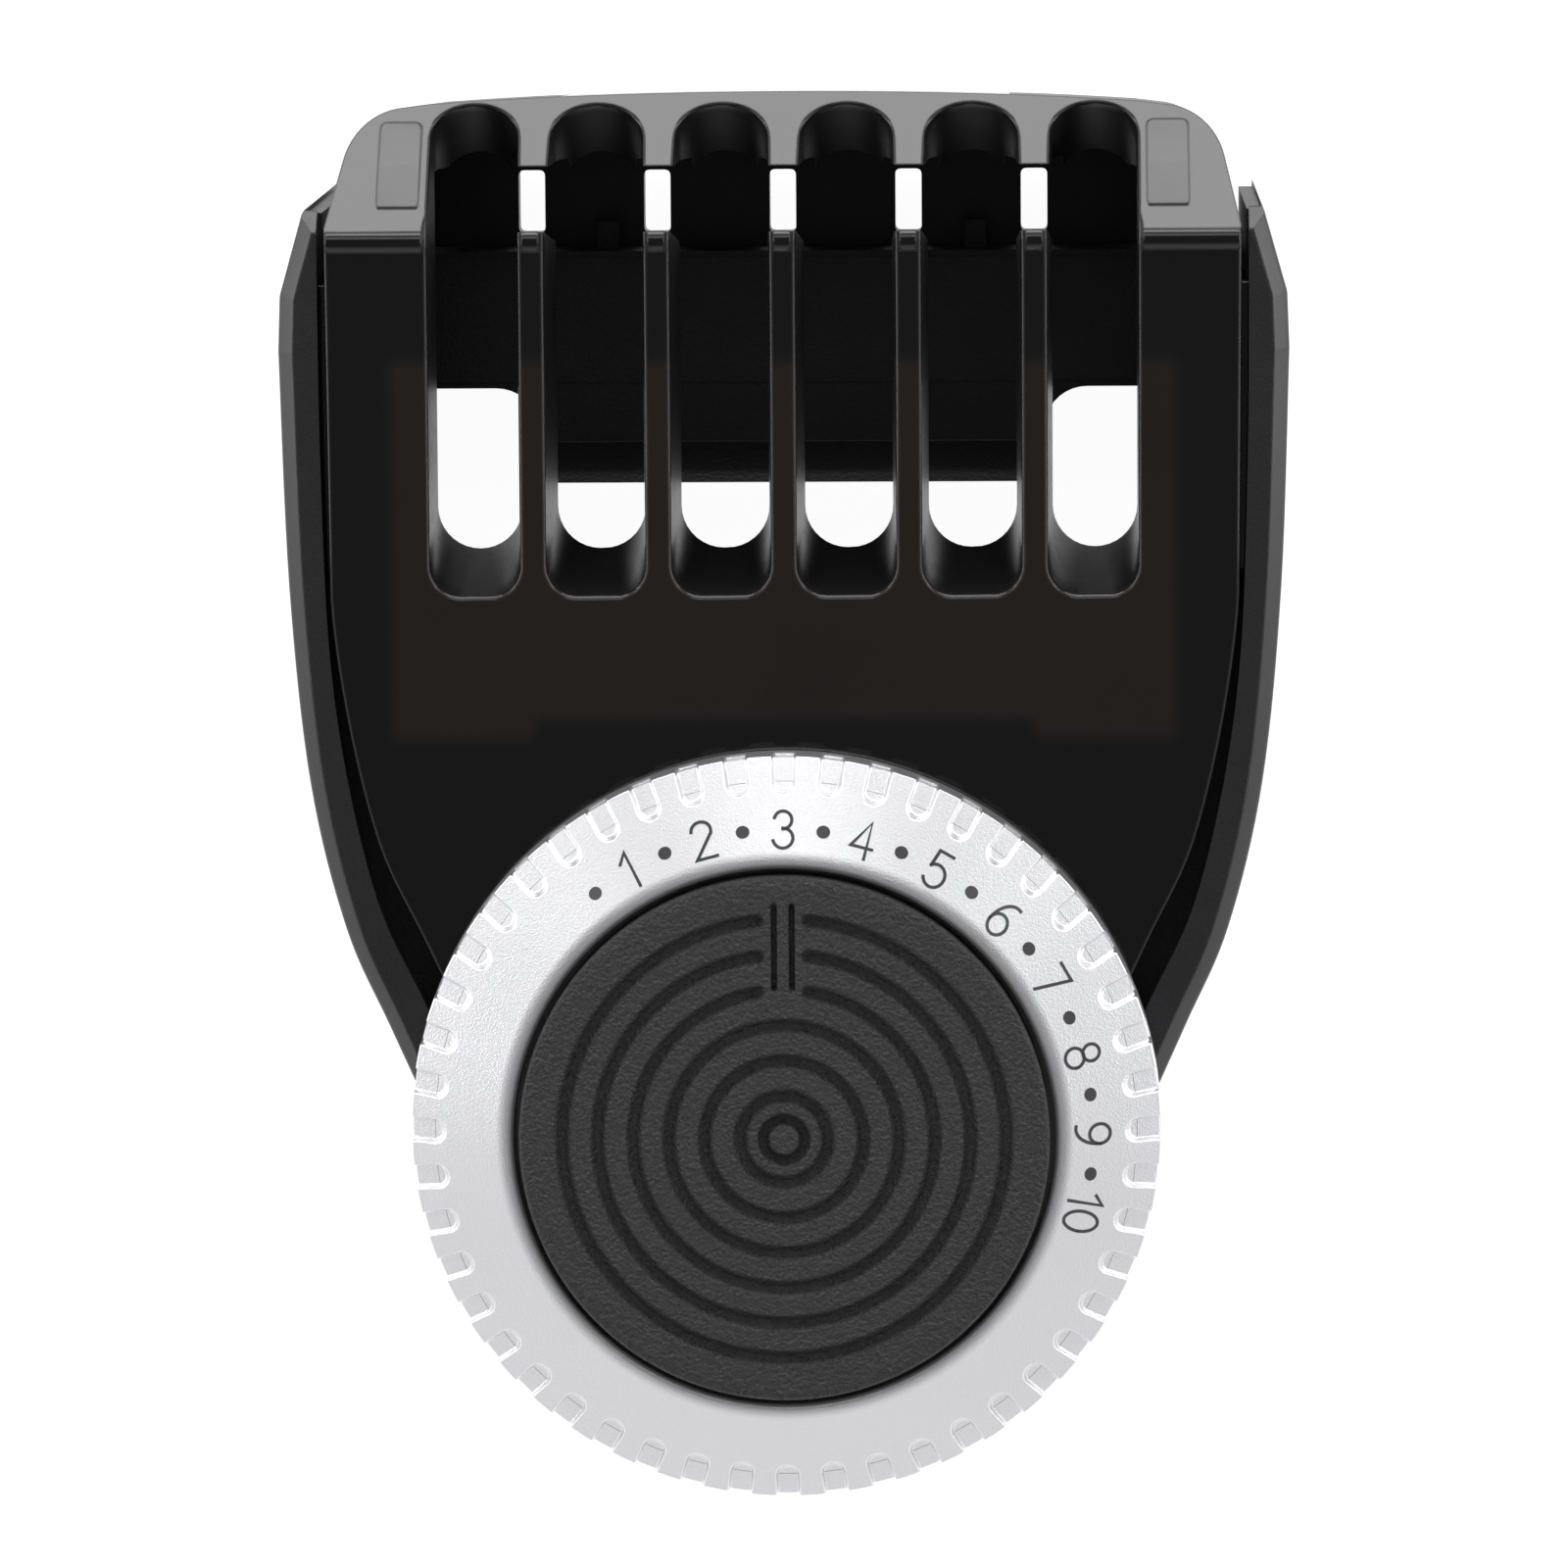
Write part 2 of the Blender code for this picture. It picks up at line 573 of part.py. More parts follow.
def hood_pad(side):
    """A low raised pad on the slope, beside the outer slot."""
    f = COMB_FRONT
    profile = [(BEND_Y + 0.9, f - 1.3), (BEND_Y + 1.2, f - 0.85), (BEND_Y + 4.5, f - 4.15),
               (BEND_Y + 4.7, f - 5.0)]
    return moved(prism_x(f"add_pad_{side + 1}", profile, PAD_WIDTH / 2),
                 side * (HOOD_HALF - PAD_INSET))


def runner(side, block_half):
    """Cuts the space beside the slots' block, and returns the runner that slides under the flange."""
    top = FRAME_FACE - FLANGE - GAP
    low, high = sorted((side * (HOOD_HALF - HOOD_WALL), side * RUNNER_HALF))
    beside = sorted((side * block_half, side * (HOOD_HALF + THROUGH)))
    return (box(f"cut_beside_block_{side + 1}", (beside[0], SLOT_LOW - 2, COMB_FRONT - RIB_DEPTH - 0.01),
                (beside[1], HOOD_BOTTOM, COMB_FRONT - PLATE)),
            box(f"add_runner_{side + 1}", (low, RUNNER_Y[0], top - RUNNER), (high, RUNNER_Y[1], top)))


def rib_window(index, centre):
    """The gap through one rib behind the bend, lower at the rib's rear."""
    half = RIB_FRONT / 2 + RIB_DRAFT * SLOT_END + 0.1
    low, high = RIB_WINDOW
    floor = low - RIB_WINDOW_SLOPE
    end = COMB_FRONT - CEILING_STEP[1] - 2
    profile = [(low, COMB_FRONT + THROUGH), (low, COMB_FRONT), (floor, COMB_FRONT - RIB_DEPTH),
               (floor, end), (high, end), (high, COMB_FRONT + THROUGH)]
    return moved(prism_x(f"cut_rib_window_{index}", profile, half), centre)


def rear_slit(index, centre):
    middle = centre * REAR_SLIT_SPREAD + REAR_SLIT_SHIFT
    half = REAR_SLIT_WIDTH / 2
    return box(f"cut_rear_slit_{index}", (middle - half, REAR_SLIT[0], HOOD_BACK - THROUGH),
               (middle + half, REAR_SLIT[1], HOOD_BACK + HOOD_WALL + THROUGH))


def build_comb(mat):
    f = COMB_FRONT
    comb = prism_x("comb", hood_profile(), HOOD_HALF + THROUGH, mat)
    for side in (-1, 1):
        combine(comb, hood_cheek(side), "UNION")
    combine(comb, prism("keep_comb_outline", comb_outline(), -THROUGH, f + THROUGH), "INTERSECT")
    block_half = slot_centres()[-1] + (SLOT_PITCH - RIB_FRONT) / 2 + BLOCK_WALL
    for side in (-1, 1):
        beside_block, side_runner = runner(side, block_half)
        combine(comb, beside_block)
        combine(comb, side_runner, "UNION")
        combine(comb, hood_pad(side), "UNION")
    for i, centre in enumerate(slot_centres()):
        combine(comb, slot_cutter(i, centre))
    for i, centre in enumerate(rib_centres()):
        combine(comb, rib_window(i, centre))
        combine(comb, rear_slit(i, centre))
    wide = HOOD_HALF + THROUGH
    combine(comb, box("cut_band_clearance", (-wide, 0, BAND_LOW - GAP),
                      (wide, BAND_Y[1] + TRAVEL_DOWN + GAP, BAND_TOP + GAP)))
    ends = arc(0, TRAVEL_DOWN, POST_R + GAP, 0, 180, 10) + arc(0, -TRAVEL_UP, POST_R + GAP, 180, 360, 10)
    combine(comb, prism("cut_post_slot", ends, f - PLATE - THROUGH, f + THROUGH))
    combine(comb, pin("cut_pin_hole", PIN_R + GAP, PIN_HOLE_Z, f + THROUGH, (0.0, PIN_ORBIT), 16))
    return comb


# ---------------------------------------------------------------- dial

def build_ring(mat):
    f = COMB_FRONT
    skirt = RING_R - RING_WALL
    under = CAM_TOP_Z + RUN_GAP
    rim = f + RIM_TOP
    profile = [(RING_BORE_R, under), (skirt, under), (skirt, f + RIM_BOTTOM), (RING_R, f + RIM_BOTTOM),
               (RING_R, rim - RIM_ROUND), (RING_R - RIM_ROUND * 0.3, rim - RIM_ROUND * 0.13),
               (RING_R - RIM_ROUND, rim + FACE_SLOPE * RIM_ROUND),
               (RING_BORE_R + BORE_CHAMFER, f + FACE_TOP - FACE_SLOPE * BORE_CHAMFER),
               (RING_BORE_R, f + FACE_TOP - BORE_CHAMFER)]
    ring = lathe("dial_ring", profile, 72, mat)
    combine(ring, notch_cutters())
    for i, spot in enumerate(cam_screw_spots()):
        combine(ring, pin(f"cut_ring_pilot_{i}", SMALL_SCREW_R + SCREW_GAP, CAM_LOW_Z,
                          CAM_SCREW_TIP + SCREW_END, spot, 12))
    return ring


def notch_cutters():
    """One U-shaped notch across the rim's edge for each half number and each half of that."""
    inner = RING_R - NOTCH_LENGTH
    outer = RING_R + THROUGH
    plan = [(outer, -NOTCH_R), (outer, NOTCH_R), (inner + NOTCH_R, NOTCH_R),
            (inner + NOTCH_R * 0.3, NOTCH_R * 0.7), (inner, 0.0),
            (inner + NOTCH_R * 0.3, -NOTCH_R * 0.7), (inner + NOTCH_R, -NOTCH_R)]
    count = len(plan)
    verts, faces = [], []
    for i in range(NOTCHES):
        turn = i * tau / NOTCHES
        across, along = (-sin(turn), cos(turn)), (cos(turn), sin(turn))
        base = len(verts)
        for lift in (0.0, 3.0):
            for r, w in plan:
                floor = COMB_FRONT + RIM_TOP + FACE_SLOPE * (RING_R - r) - NOTCH_DEPTH
                verts.append((r * along[0] + w * across[0], r * along[1] + w * across[1], floor + lift))
        faces += [[base + k for k in range(count)], [base + count + k for k in range(count)]]
        faces += [[base + k, base + (k + 1) % count, base + count + (k + 1) % count, base + count + k]
                  for k in range(count)]
    return make("cut_notches", verts, faces)


def cam_screw_spots():
    return [(CAM_SCREW_ORBIT * cos(radians(a)), CAM_SCREW_ORBIT * sin(radians(a)))
            for a in CAM_SCREW_ANGLES]


def post_screw_spots():
    return [(POST_SCREW_ORBIT * cos(a), POST_SCREW_ORBIT * sin(a))
            for a in (radians(-90 + 120 * i) for i in range(3))]


def detent_screw_spots():
    return [(LEAF_ORBIT * cos(a), LEAF_ORBIT * sin(a))
            for a in (radians(270 - LEAF_ANGLE), radians(270 + LEAF_ANGLE))]


def spiral_groove():
    """The groove's centre is at PIN_ORBIT plus the comb's travel, for each angle of the dial."""
    half = PIN_R + RUN_GAP
    turn = np.radians(np.linspace(-STEPS_DOWN * STEP_ANGLE, STEPS_UP * STEP_ANGLE, 40))
    radius = PIN_ORBIT + MM_PER_STEP * np.degrees(turn) / STEP_ANGLE
    angle = pi / 2 - turn
    outer = [((r + half) * cos(a), (r + half) * sin(a)) for r, a in zip(radius, angle)]
    inner = [((r - half) * cos(a), (r - half) * sin(a)) for r, a in zip(radius, angle)]
    outline = (outer + groove_end(radius[-1], angle[-1], half, -1) + inner[::-1]
               + groove_end(radius[0], angle[0], half, 1)[::-1])
    return prism("cut_spiral", outline, CAM_LOW_Z - THROUGH, CAM_LOW_Z + GROOVE_DEPTH)


def groove_end(radius, angle, half, way):
    """The points of a round end between the groove's outer and inner edges."""
    cx, cy = radius * cos(angle), radius * sin(angle)
    return [(cx + half * cos(angle + way * a), cy + half * sin(angle + way * a))
            for a in np.linspace(0, pi, 9)[1:-1]]


def detent_cutters():
    """V-shaped grooves across the cam's upper face, one for each notch of the rim."""
    verts, faces = [], []
    for i in range(NOTCHES):
        turn = i * tau / NOTCHES + pi / 2
        across, along = (-sin(turn), cos(turn)), (cos(turn), sin(turn))
        base = len(verts)
        for r in DETENT_R:
            for w, z in ((-DETENT_HALF, 0.1), (DETENT_HALF, 0.1), (0.0, -DETENT_DEPTH)):
                verts.append((r * along[0] + w * across[0], r * along[1] + w * across[1],
                              CAM_TOP_Z + z))
        faces += [[base, base + 1, base + 2], [base + 3, base + 4, base + 5],
                  [base, base + 1, base + 4, base + 3], [base + 1, base + 2, base + 5, base + 4],
                  [base + 2, base, base + 3, base + 5]]
    return make("cut_detents", verts, faces)


def build_cam(mat):
    rim = RING_R - RING_WALL - GAP
    profile = [(CAM_BORE_R, CAM_LOW_Z), (rim, CAM_LOW_Z), (rim, CAM_TOP_Z), (CAM_BORE_R, CAM_TOP_Z)]
    cam = lathe("cam_disc", profile, 48, mat)
    combine(cam, spiral_groove())
    head_r, shank_r = SMALL_HEAD_R + GAP, SMALL_SCREW_R + SCREW_GAP
    seat = CAM_LOW_Z + SMALL_HEAD + GAP
    for i, spot in enumerate(cam_screw_spots()):
        steps = [(0, CAM_LOW_Z - THROUGH), (head_r, CAM_LOW_Z - THROUGH), (head_r, seat),
                 (shank_r, seat), (shank_r, CAM_TOP_Z + THROUGH), (0, CAM_TOP_Z + THROUGH)]
        combine(cam, lathe(f"cut_cam_screw_{i}", steps, 16, None, spot))
    combine(cam, detent_cutters())
    return cam


# ---------------------------------------------------------------- hub

def hub_groove_radii():
    last = HUB_R - HUB_GROOVE_MARGIN
    return np.linspace(HUB_GROOVE_FIRST, last, HUB_GROOVES)


def build_hub(mat):
    half = HUB_GROOVE_WIDTH / 2
    top, floor = HUB_TOP_Z, HUB_FLOOR_Z
    profile = [(0, HUB_LOW_Z), (HUB_R, HUB_LOW_Z), (HUB_R, top - HUB_ROUND),
               (HUB_R - HUB_ROUND * 0.3, top - HUB_ROUND * 0.3), (HUB_R - HUB_ROUND, top)]
    for r in reversed(hub_groove_radii()):
        profile += [(r + half, top), (r + half * 0.5, floor), (r - half * 0.5, floor), (r - half, top)]
    profile += [(1.15, top), (1.0, floor), (0.75, floor), (0.45, top - 0.1), (0, top)]
    hub = lathe("hub_cap", profile, 36, mat)
    outer_end = hub_groove_radii()[-1] + POINTER_PAST
    for side in (-1, 1):
        left = side * POINTER_SPREAD / 2 - POINTER_WIDTH / 2
        combine(hub, box(f"cut_pointer_{side + 1}", (left, outer_end - POINTER_LENGTH, floor),
                         (left + POINTER_WIDTH, outer_end, top + THROUGH)))
    bore_end = CENTRE_SCREW_TIP + SCREW_END
    bore = [(0, HUB_LOW_Z - THROUGH), (CENTRE_SCREW_R + GAP, HUB_LOW_Z - THROUGH),
            (CENTRE_SCREW_R + GAP, bore_end), (0, bore_end)]
    combine(hub, lathe("cut_hub_bore", bore, 24))
    for i, spot in enumerate(detent_screw_spots()):
        combine(hub, pin(f"cut_hub_pilot_{i}", SMALL_SCREW_R + SCREW_GAP, HUB_LOW_Z - THROUGH,
                         LEAF_SCREW_TIP + SCREW_END, spot, 12))
    return hub


def build_post(mat):
    bore = CENTRE_SCREW_R + GAP
    profile = [(bore, POST_FLANGE_LOW), (POST_FLANGE_R, POST_FLANGE_LOW),
               (POST_FLANGE_R, POST_FLANGE_TOP), (POST_R, POST_FLANGE_TOP),
               (POST_R, HUB_LOW_Z - GAP), (bore, HUB_LOW_Z - GAP)]
    post = lathe("bearing_post", profile, 32, mat)
    for i, spot in enumerate(post_screw_spots()):
        combine(post, pin(f"cut_flange_{i}", SMALL_SCREW_R + SCREW_GAP, POST_FLANGE_LOW - THROUGH,
                          POST_FLANGE_TOP + THROUGH, spot, 12))
    return post


# ---------------------------------------------------------------- screws, springs and pin

def screw(name, shank_r, head_r, head, z_head, z_tip, spot, mat, segments=12):
    """A screw with a round socket, driven upward from below."""
    socket = shank_r * 0.8
    profile = [(0, z_head + head * 0.5), (socket, z_head + head * 0.5),
               (socket, z_head), (head_r * 0.85, z_head), (head_r, z_head + head * 0.35),
               (head_r, z_head + head), (shank_r, z_head + head),
               (shank_r, z_tip - shank_r * 0.6), (shank_r * 0.4, z_tip), (0, z_tip)]
    return lathe(name, profile, segments, mat, spot)


def build_screws(steel):
    screw("centre_screw", CENTRE_SCREW_R, CENTRE_HEAD_R, CENTRE_HEAD, POST_FLANGE_LOW - GAP - CENTRE_HEAD,
          CENTRE_SCREW_TIP, (0.0, 0.0), steel, 24)
    for i, spot in enumerate(post_screw_spots(), 1):
        screw(f"post_screw_{i}", SMALL_SCREW_R, SMALL_HEAD_R, SMALL_HEAD,
              POST_FLANGE_LOW - GAP - SMALL_HEAD, POST_SCREW_TIP, spot, steel)
    for i, spot in enumerate(cam_screw_spots(), 1):
        screw(f"cam_screw_{i}", SMALL_SCREW_R, SMALL_HEAD_R, SMALL_HEAD, CAM_LOW_Z,
              CAM_SCREW_TIP, spot, steel)
    for i, spot in enumerate(detent_screw_spots(), 1):
        screw(f"detent_screw_{i}", SMALL_SCREW_R, LEAF_HEAD_R, LEAF_HEAD,
              LEAF_TOP_Z - LEAF - GAP - LEAF_HEAD, LEAF_SCREW_TIP, spot, steel)


def build_detent_spring(mat):
    """A curved steel leaf under the hub with a nose that rides over the cam's detents."""
    top = LEAF_TOP_Z
    nose = top - LEAF - (CAM_TOP_Z + LEAF_LIFT)
    reach = LEAF_ANGLE + LEAF_END
    turn = np.radians(np.linspace(270 - reach, 270 + reach, 33))
    dip = nose * np.clip(1 - np.abs(np.degrees(turn) - 270) / LEAF_NOSE, 0, 1)
    half = LEAF_WIDTH / 2
    section = ((-half, -LEAF), (half, -LEAF), (half, 0), (-half, 0))
    spring = loft("detent_spring", [[((LEAF_ORBIT + r) * cos(a), (LEAF_ORBIT + r) * sin(a), top + z - d)
                                     for r, z in section] for a, d in zip(turn, dip)], mat)
    for i, spot in enumerate(detent_screw_spots()):
        combine(spring, pin(f"cut_leaf_{i}", SMALL_SCREW_R + 0.15, top - LEAF - THROUGH, top + THROUGH,
                            spot, 12))
    return spring


def build_wave_washer(mat):
    middle = (CAM_TOP_Z + HUB_LOW_Z) / 2
    steps = 16 * WASHER_WAVES
    inner = POST_R + GAP
    outer = inner + WASHER_WIDTH
    verts, faces = [], []
    for i in range(steps):
        a = i * tau / steps
        z = middle + WASHER_WAVE * cos(WASHER_WAVES * a)
        verts += [(r * cos(a), r * sin(a), z + dz) for r, dz in
                  ((inner, -WASHER / 2), (outer, -WASHER / 2), (outer, WASHER / 2), (inner, WASHER / 2))]
        low, high = 4 * i, 4 * ((i + 1) % steps)
        faces += [[low + k, low + (k + 1) % 4, high + (k + 1) % 4, high + k] for k in range(4)]
    return make("wave_washer", verts, faces, mat)


def build_pin(mat):
    top = CAM_LOW_Z + GROOVE_DEPTH - GAP
    low = PIN_HOLE_Z + GAP
    profile = [(0, low), (PIN_R, low), (PIN_R, top - 0.15), (PIN_R - 0.15, top), (0, top)]
    return lathe("follower_pin", profile, 24, mat, (0.0, PIN_ORBIT))


def main():
    clear_scene()
    frame_black = material("frame_black", (0.022, 0.022, 0.025), 0.55)
    comb_smoke = material("comb_smoke", (0.012, 0.011, 0.010), 0.08)
    silver = material("dial_silver", (0.78, 0.78, 0.80), 0.3, 0.7)
    hub_black = material("hub_black", (0.025, 0.025, 0.027), 0.5)
    acetal = material("acetal_white", (0.75, 0.74, 0.70), 0.4)
    steel = material("steel", (0.6, 0.6, 0.6), 0.25, 1.0)
    build_frame(frame_black)
    build_comb(comb_smoke)
    build_ring(silver)
    build_cam(acetal)
    build_hub(hub_black)
    build_post(frame_black)
    build_detent_spring(steel)
    build_wave_washer(steel)
    build_pin(steel)
    build_screws(steel)


main()
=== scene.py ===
"""Looks of an adjustable comb attachment with a length dial, for a beard and hair trimmer.

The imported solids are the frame. Fine surfaces stand for the mouldings that show, and every other
solid keeps its shape and gets a finish. Lengths are in metres, and plan positions count from the
dial's axis, with +Y toward the comb's tips.
"""

import math

import bmesh
import bpy
import numpy as np
from mathutils import Matrix, Vector


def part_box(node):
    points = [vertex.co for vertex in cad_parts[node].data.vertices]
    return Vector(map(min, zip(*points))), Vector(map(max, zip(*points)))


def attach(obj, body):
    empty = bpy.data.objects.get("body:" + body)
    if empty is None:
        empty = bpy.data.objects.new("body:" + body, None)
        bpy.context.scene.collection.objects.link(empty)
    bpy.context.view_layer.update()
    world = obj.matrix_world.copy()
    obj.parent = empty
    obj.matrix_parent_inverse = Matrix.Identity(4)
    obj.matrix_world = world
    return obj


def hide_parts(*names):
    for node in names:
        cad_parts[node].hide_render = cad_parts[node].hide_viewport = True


bl_info = {
    "name": "Comb attachment looks",
    "version": (1, 0, 0),
    "blender": (4, 5, 0),
    "location": "3D View > Sidebar > Comb",
    "description": "Fine surfaces and finishes of a trimmer's adjustable comb attachment",
    "category": "Object",
}

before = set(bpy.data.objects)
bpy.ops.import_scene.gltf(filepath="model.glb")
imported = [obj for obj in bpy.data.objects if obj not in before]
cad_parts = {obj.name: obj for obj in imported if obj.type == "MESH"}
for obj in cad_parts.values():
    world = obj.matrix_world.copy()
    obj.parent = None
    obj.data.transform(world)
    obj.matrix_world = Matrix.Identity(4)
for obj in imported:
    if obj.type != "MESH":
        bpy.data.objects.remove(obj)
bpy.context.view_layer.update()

MM = 0.001
TAU = 2 * math.pi
CLEAR = 1.0 * MM                      # how far a cutter runs past what it cuts
SHARP = math.radians(32)              # edges bent more than this stay sharp


def lowest(node):
    """The lowest x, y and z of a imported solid."""
    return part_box(node)[0]


def highest(node):
    """The highest x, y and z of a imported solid."""
    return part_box(node)[1]


FRONT = highest("comb").z             # the comb's front face
AXIS_Y = (lowest("hub_cap").y + highest("hub_cap").y) / 2
HOOD_BACK = lowest("comb").z
HOOD_TOP = highest("comb").y - AXIS_Y
HUB_TOP = highest("hub_cap").z
HUB_LOW = lowest("hub_cap").z
HUB_R = highest("hub_cap").x
RING_R = highest("dial_ring").x
RING_TOP = highest("dial_ring").z
RING_LOW = lowest("dial_ring").z
CAM_TOP = highest("cam_disc").z
EAR_HALF = highest("frame").x
FRAME_FACE = highest("frame").z
POST_TOP = highest("bearing_post").z
POST_LOW = lowest("bearing_post").z
POST_R = 2.8 * MM                     # radius of the bearing post
PILOT_R = 0.8 * MM                    # radius of the holes for the post's screws
BAND_LOW = 2.5 * MM                   # the rear band's rear face


# ---------------------------------------------------------------- sizes and finishes to change

def length(name, description, millimetres):
    """A length to change, given in millimetres."""
    return bpy.props.FloatProperty(name=name, description=description, default=millimetres * MM,
                                   unit="LENGTH", precision=5)


def share(name, description, value):
    """A share from 0 to about 1."""
    return bpy.props.FloatProperty(name=name, description=description, default=value, min=0.0,
                                   soft_max=1.0)


def radiance(name, description, value):
    """How brightly a light's face shines."""
    return bpy.props.FloatProperty(name=name, description=description, default=value, min=0.0)


def colour(name, description, value):
    """A colour to change, in linear values."""
    return bpy.props.FloatVectorProperty(name=name, description=description, default=value, size=3,
                                         subtype="COLOR", min=0.0, max=1.0)


class CombSizes(bpy.types.PropertyGroup):
    """Sizes of the sliding comb hood."""
    plate: length("Plate", "Thickness of the front plate", 2.2)
    wall: length("Wall", "Thickness of the hood's walls", 1.5)
    edge: length("Edge", "Rounding of the front edges", 0.22)
    slots: bpy.props.IntProperty(name="Slots", description="Number of slots", default=6)
    pitch: length("Pitch", "From one slot to the next", 5.674)
    rib: length("Rib", "Width of a rib at the front", 1.2)
    outer_loss: length("Outer loss", "How much narrower the outer slots are at the front", 0.4)
    rib_depth: length("Rib depth", "Depth of a rib", 6.3)
    slot_low: length("Slot's lower end", "From the dial's axis to the lower end at the front", 23.95)
    bead: length("Bead", "Height of the bead along the bend", 0.24)
    draft: length("Draft", "How far the hood's top leans in from its crown to its rear", 1.0)


class FrameSizes(bpy.types.PropertyGroup):
    """Sizes of the clip-on frame."""
    chamfer: length("Chamfer", "Width of the rim's outer chamfer", 0.7)
    flange: length("Flange", "Thickness of the front flange", 1.0)
    base: length("Base", "Thickness of the base plate", 2.2)
    plate_gap: length("Plate gap", "From the comb's plate to the base plate", 0.4)
    wall: length("Wall", "Thickness of a cheek", 1.0)
    band: length("Band", "Thickness of the rear band", 3.3)


class DialSizes(bpy.types.PropertyGroup):
    """Sizes of the dial ring and the hub cap."""
    face: length("Face", "Width of the numbered face", 4.8)
    rim_rise: length("Rim", "Height of the rim's edge above the comb", 2.5)
    skirt: length("Skirt", "Thickness of the skirt", 1.1)
    notches: bpy.props.IntProperty(name="Notches", description="Notches round the rim", default=48)
    notch_depth: length("Notch depth", "Depth of a rim notch", 0.4)
    digit: length("Digit", "Height of a printed digit", 1.8)
    stroke: length("Stroke", "Width of a printed line", 0.15)
    print_orbit: length("Print", "From the dial's axis to the middle of a digit", 13.9)
    groove_depth: length("Groove depth", "Depth of the hub's grooves", 0.24)


class Finishes(bpy.types.PropertyGroup):
    """Colours and gloss of the materials."""
    smoke: colour("Smoke", "The comb's dark smoke", (0.0052, 0.0053, 0.0056))
    # Painted backlight: the comb's base colour where light from behind would shine through the plate.
    smoke_warm: colour("Warm smoke", "The comb where light comes through from behind",
                       (0.0185, 0.0142, 0.0118))
    smoke_gloss: share("Comb roughness", "Roughness of the comb's polish", 0.07)
    black: colour("Black", "The frame's black", (0.0165, 0.0165, 0.0185))
    hub: colour("Hub", "The hub cap's black", (0.0175, 0.0175, 0.0195))
    silver: colour("Silver", "The dial's satin silver", (0.83, 0.83, 0.85))
    ink: colour("Ink", "The dial's printed numbers", (0.045, 0.045, 0.05))
    acetal: colour("Acetal", "The cam disc's natural white", (0.72, 0.71, 0.67))
    steel: colour("Steel", "Springs, pin and screws", (0.58, 0.58, 0.57))


class Studio(bpy.types.PropertyGroup):
    """The lights and the floor."""
    floor_glow: share("Floor", "How much the pale floor gives off", 0.95)
    sky_high: share("Overhead", "Brightness straight above the object", 0.15)
    sky_low: share("Horizon", "Brightness all round the object", 0.85)
    top_box: radiance("Top box", "Radiance of the light beyond the comb", 5.5)
    low_box: radiance("Low boxes", "Radiance of the two low side lights", 4.0)
    high_box: radiance("High box", "Radiance of the small high light", 3.0)
    side_box: radiance("Side boxes", "Radiance of the two upper side lights", 1.6)


# ---------------------------------------------------------------- surfaces

def grid_faces(rows, columns, close_rows=False, close_columns=False):
    """Quads between the neighbours of a grid of points: point (row, column) has the number
    row x columns + column, and a closed way joins its last row or column to the first."""
    r = np.arange(rows if close_rows else rows - 1)[:, None]
    c = np.arange(columns if close_columns else columns - 1)[None, :]
    below, beside = (r + 1) % rows, (c + 1) % columns
    quads = np.stack([r * columns + c, r * columns + beside, below * columns + beside,
                      below * columns + c], -1)
    return quads.reshape(-1, 4)


def piece(name, points, faces):
    """One object at the origin, with its doubles merged and its faces turned outward."""
    mesh = bpy.data.meshes.new(name)
    mesh.from_pydata(np.asarray(points).reshape(-1, 3), [], faces)
    bm = bmesh.new()
    bm.from_mesh(mesh)
    bmesh.ops.remove_doubles(bm, verts=bm.verts, dist=1e-7)
    bmesh.ops.recalc_face_normals(bm, faces=bm.faces)
    bm.to_mesh(mesh)
    bm.free()
    obj = bpy.data.objects.new(name, mesh)
    bpy.context.scene.collection.objects.link(obj)
    return obj


def stack(name, rings):
    """A closed solid through rings of points, given as (level, point, coordinate), capped at both ends."""
    levels, count = rings.shape[:2]
    faces = grid_faces(levels, count, close_columns=True).tolist()
    faces += [list(range(count)), list(range((levels - 1) * count, levels * count))]
    return piece(name, rings, faces)


def at_level(outline, z):
    """Plan points raised to a height, one value or one for each point."""
    outline = np.asarray(outline, float)
    return np.column_stack([outline[:, 0], outline[:, 1] + AXIS_Y, np.broadcast_to(z, len(outline))])


def prism(name, outline, low, high):
    """A plan outline carried straight up from one height to another."""
    return stack(name, np.stack([at_level(outline, low), at_level(outline, high)]))


def rounded_prism(name, outline, low, high, low_edge, high_edge, lean=0.0, steps=5):
    """A prism whose end edges follow quarter circles: at angle a the outline is moved in by r(1 - sin a)
    and stands r(1 - cos a) from the end. Its sides lean in toward the low end."""
    turn = np.linspace(0, math.pi / 2, steps)
    rings = [at_level(inset(outline, lean + low_edge * (1 - math.sin(a))), low + low_edge * (1 - math.cos(a)))
             for a in turn]
    rings += [at_level(inset(outline, high_edge * (1 - math.sin(a))), high - high_edge * (1 - math.cos(a)))
              for a in turn[::-1]]
    return stack(name, np.stack(rings))


def bar(name, profile, left, right):
    """A profile in Y and Z carried along X."""
    profile = np.asarray(profile, float)
    rings = [np.column_stack([np.full(len(profile), x), profile[:, 0] + AXIS_Y, profile[:, 1]])
             for x in (left, right)]
    return stack(name, np.stack(rings))


def block(name, low, high):
    """A box between two corners."""
    return prism(name, [(low[0], low[1]), (high[0], low[1]), (high[0], high[1]), (low[0], high[1])],
                 low[2], high[2])


def side_blocks(name, near, far, y, z):
    """A box on each side of the middle: its x runs from near to far, as it is and with its sign turned."""
    pairs = [(side, *sorted((side * near, side * far))) for side in (-1, 1)]
    return [block(f"{name}_{side}", (a, y[0], z[0]), (b, y[1], z[1])) for side, a, b in pairs]


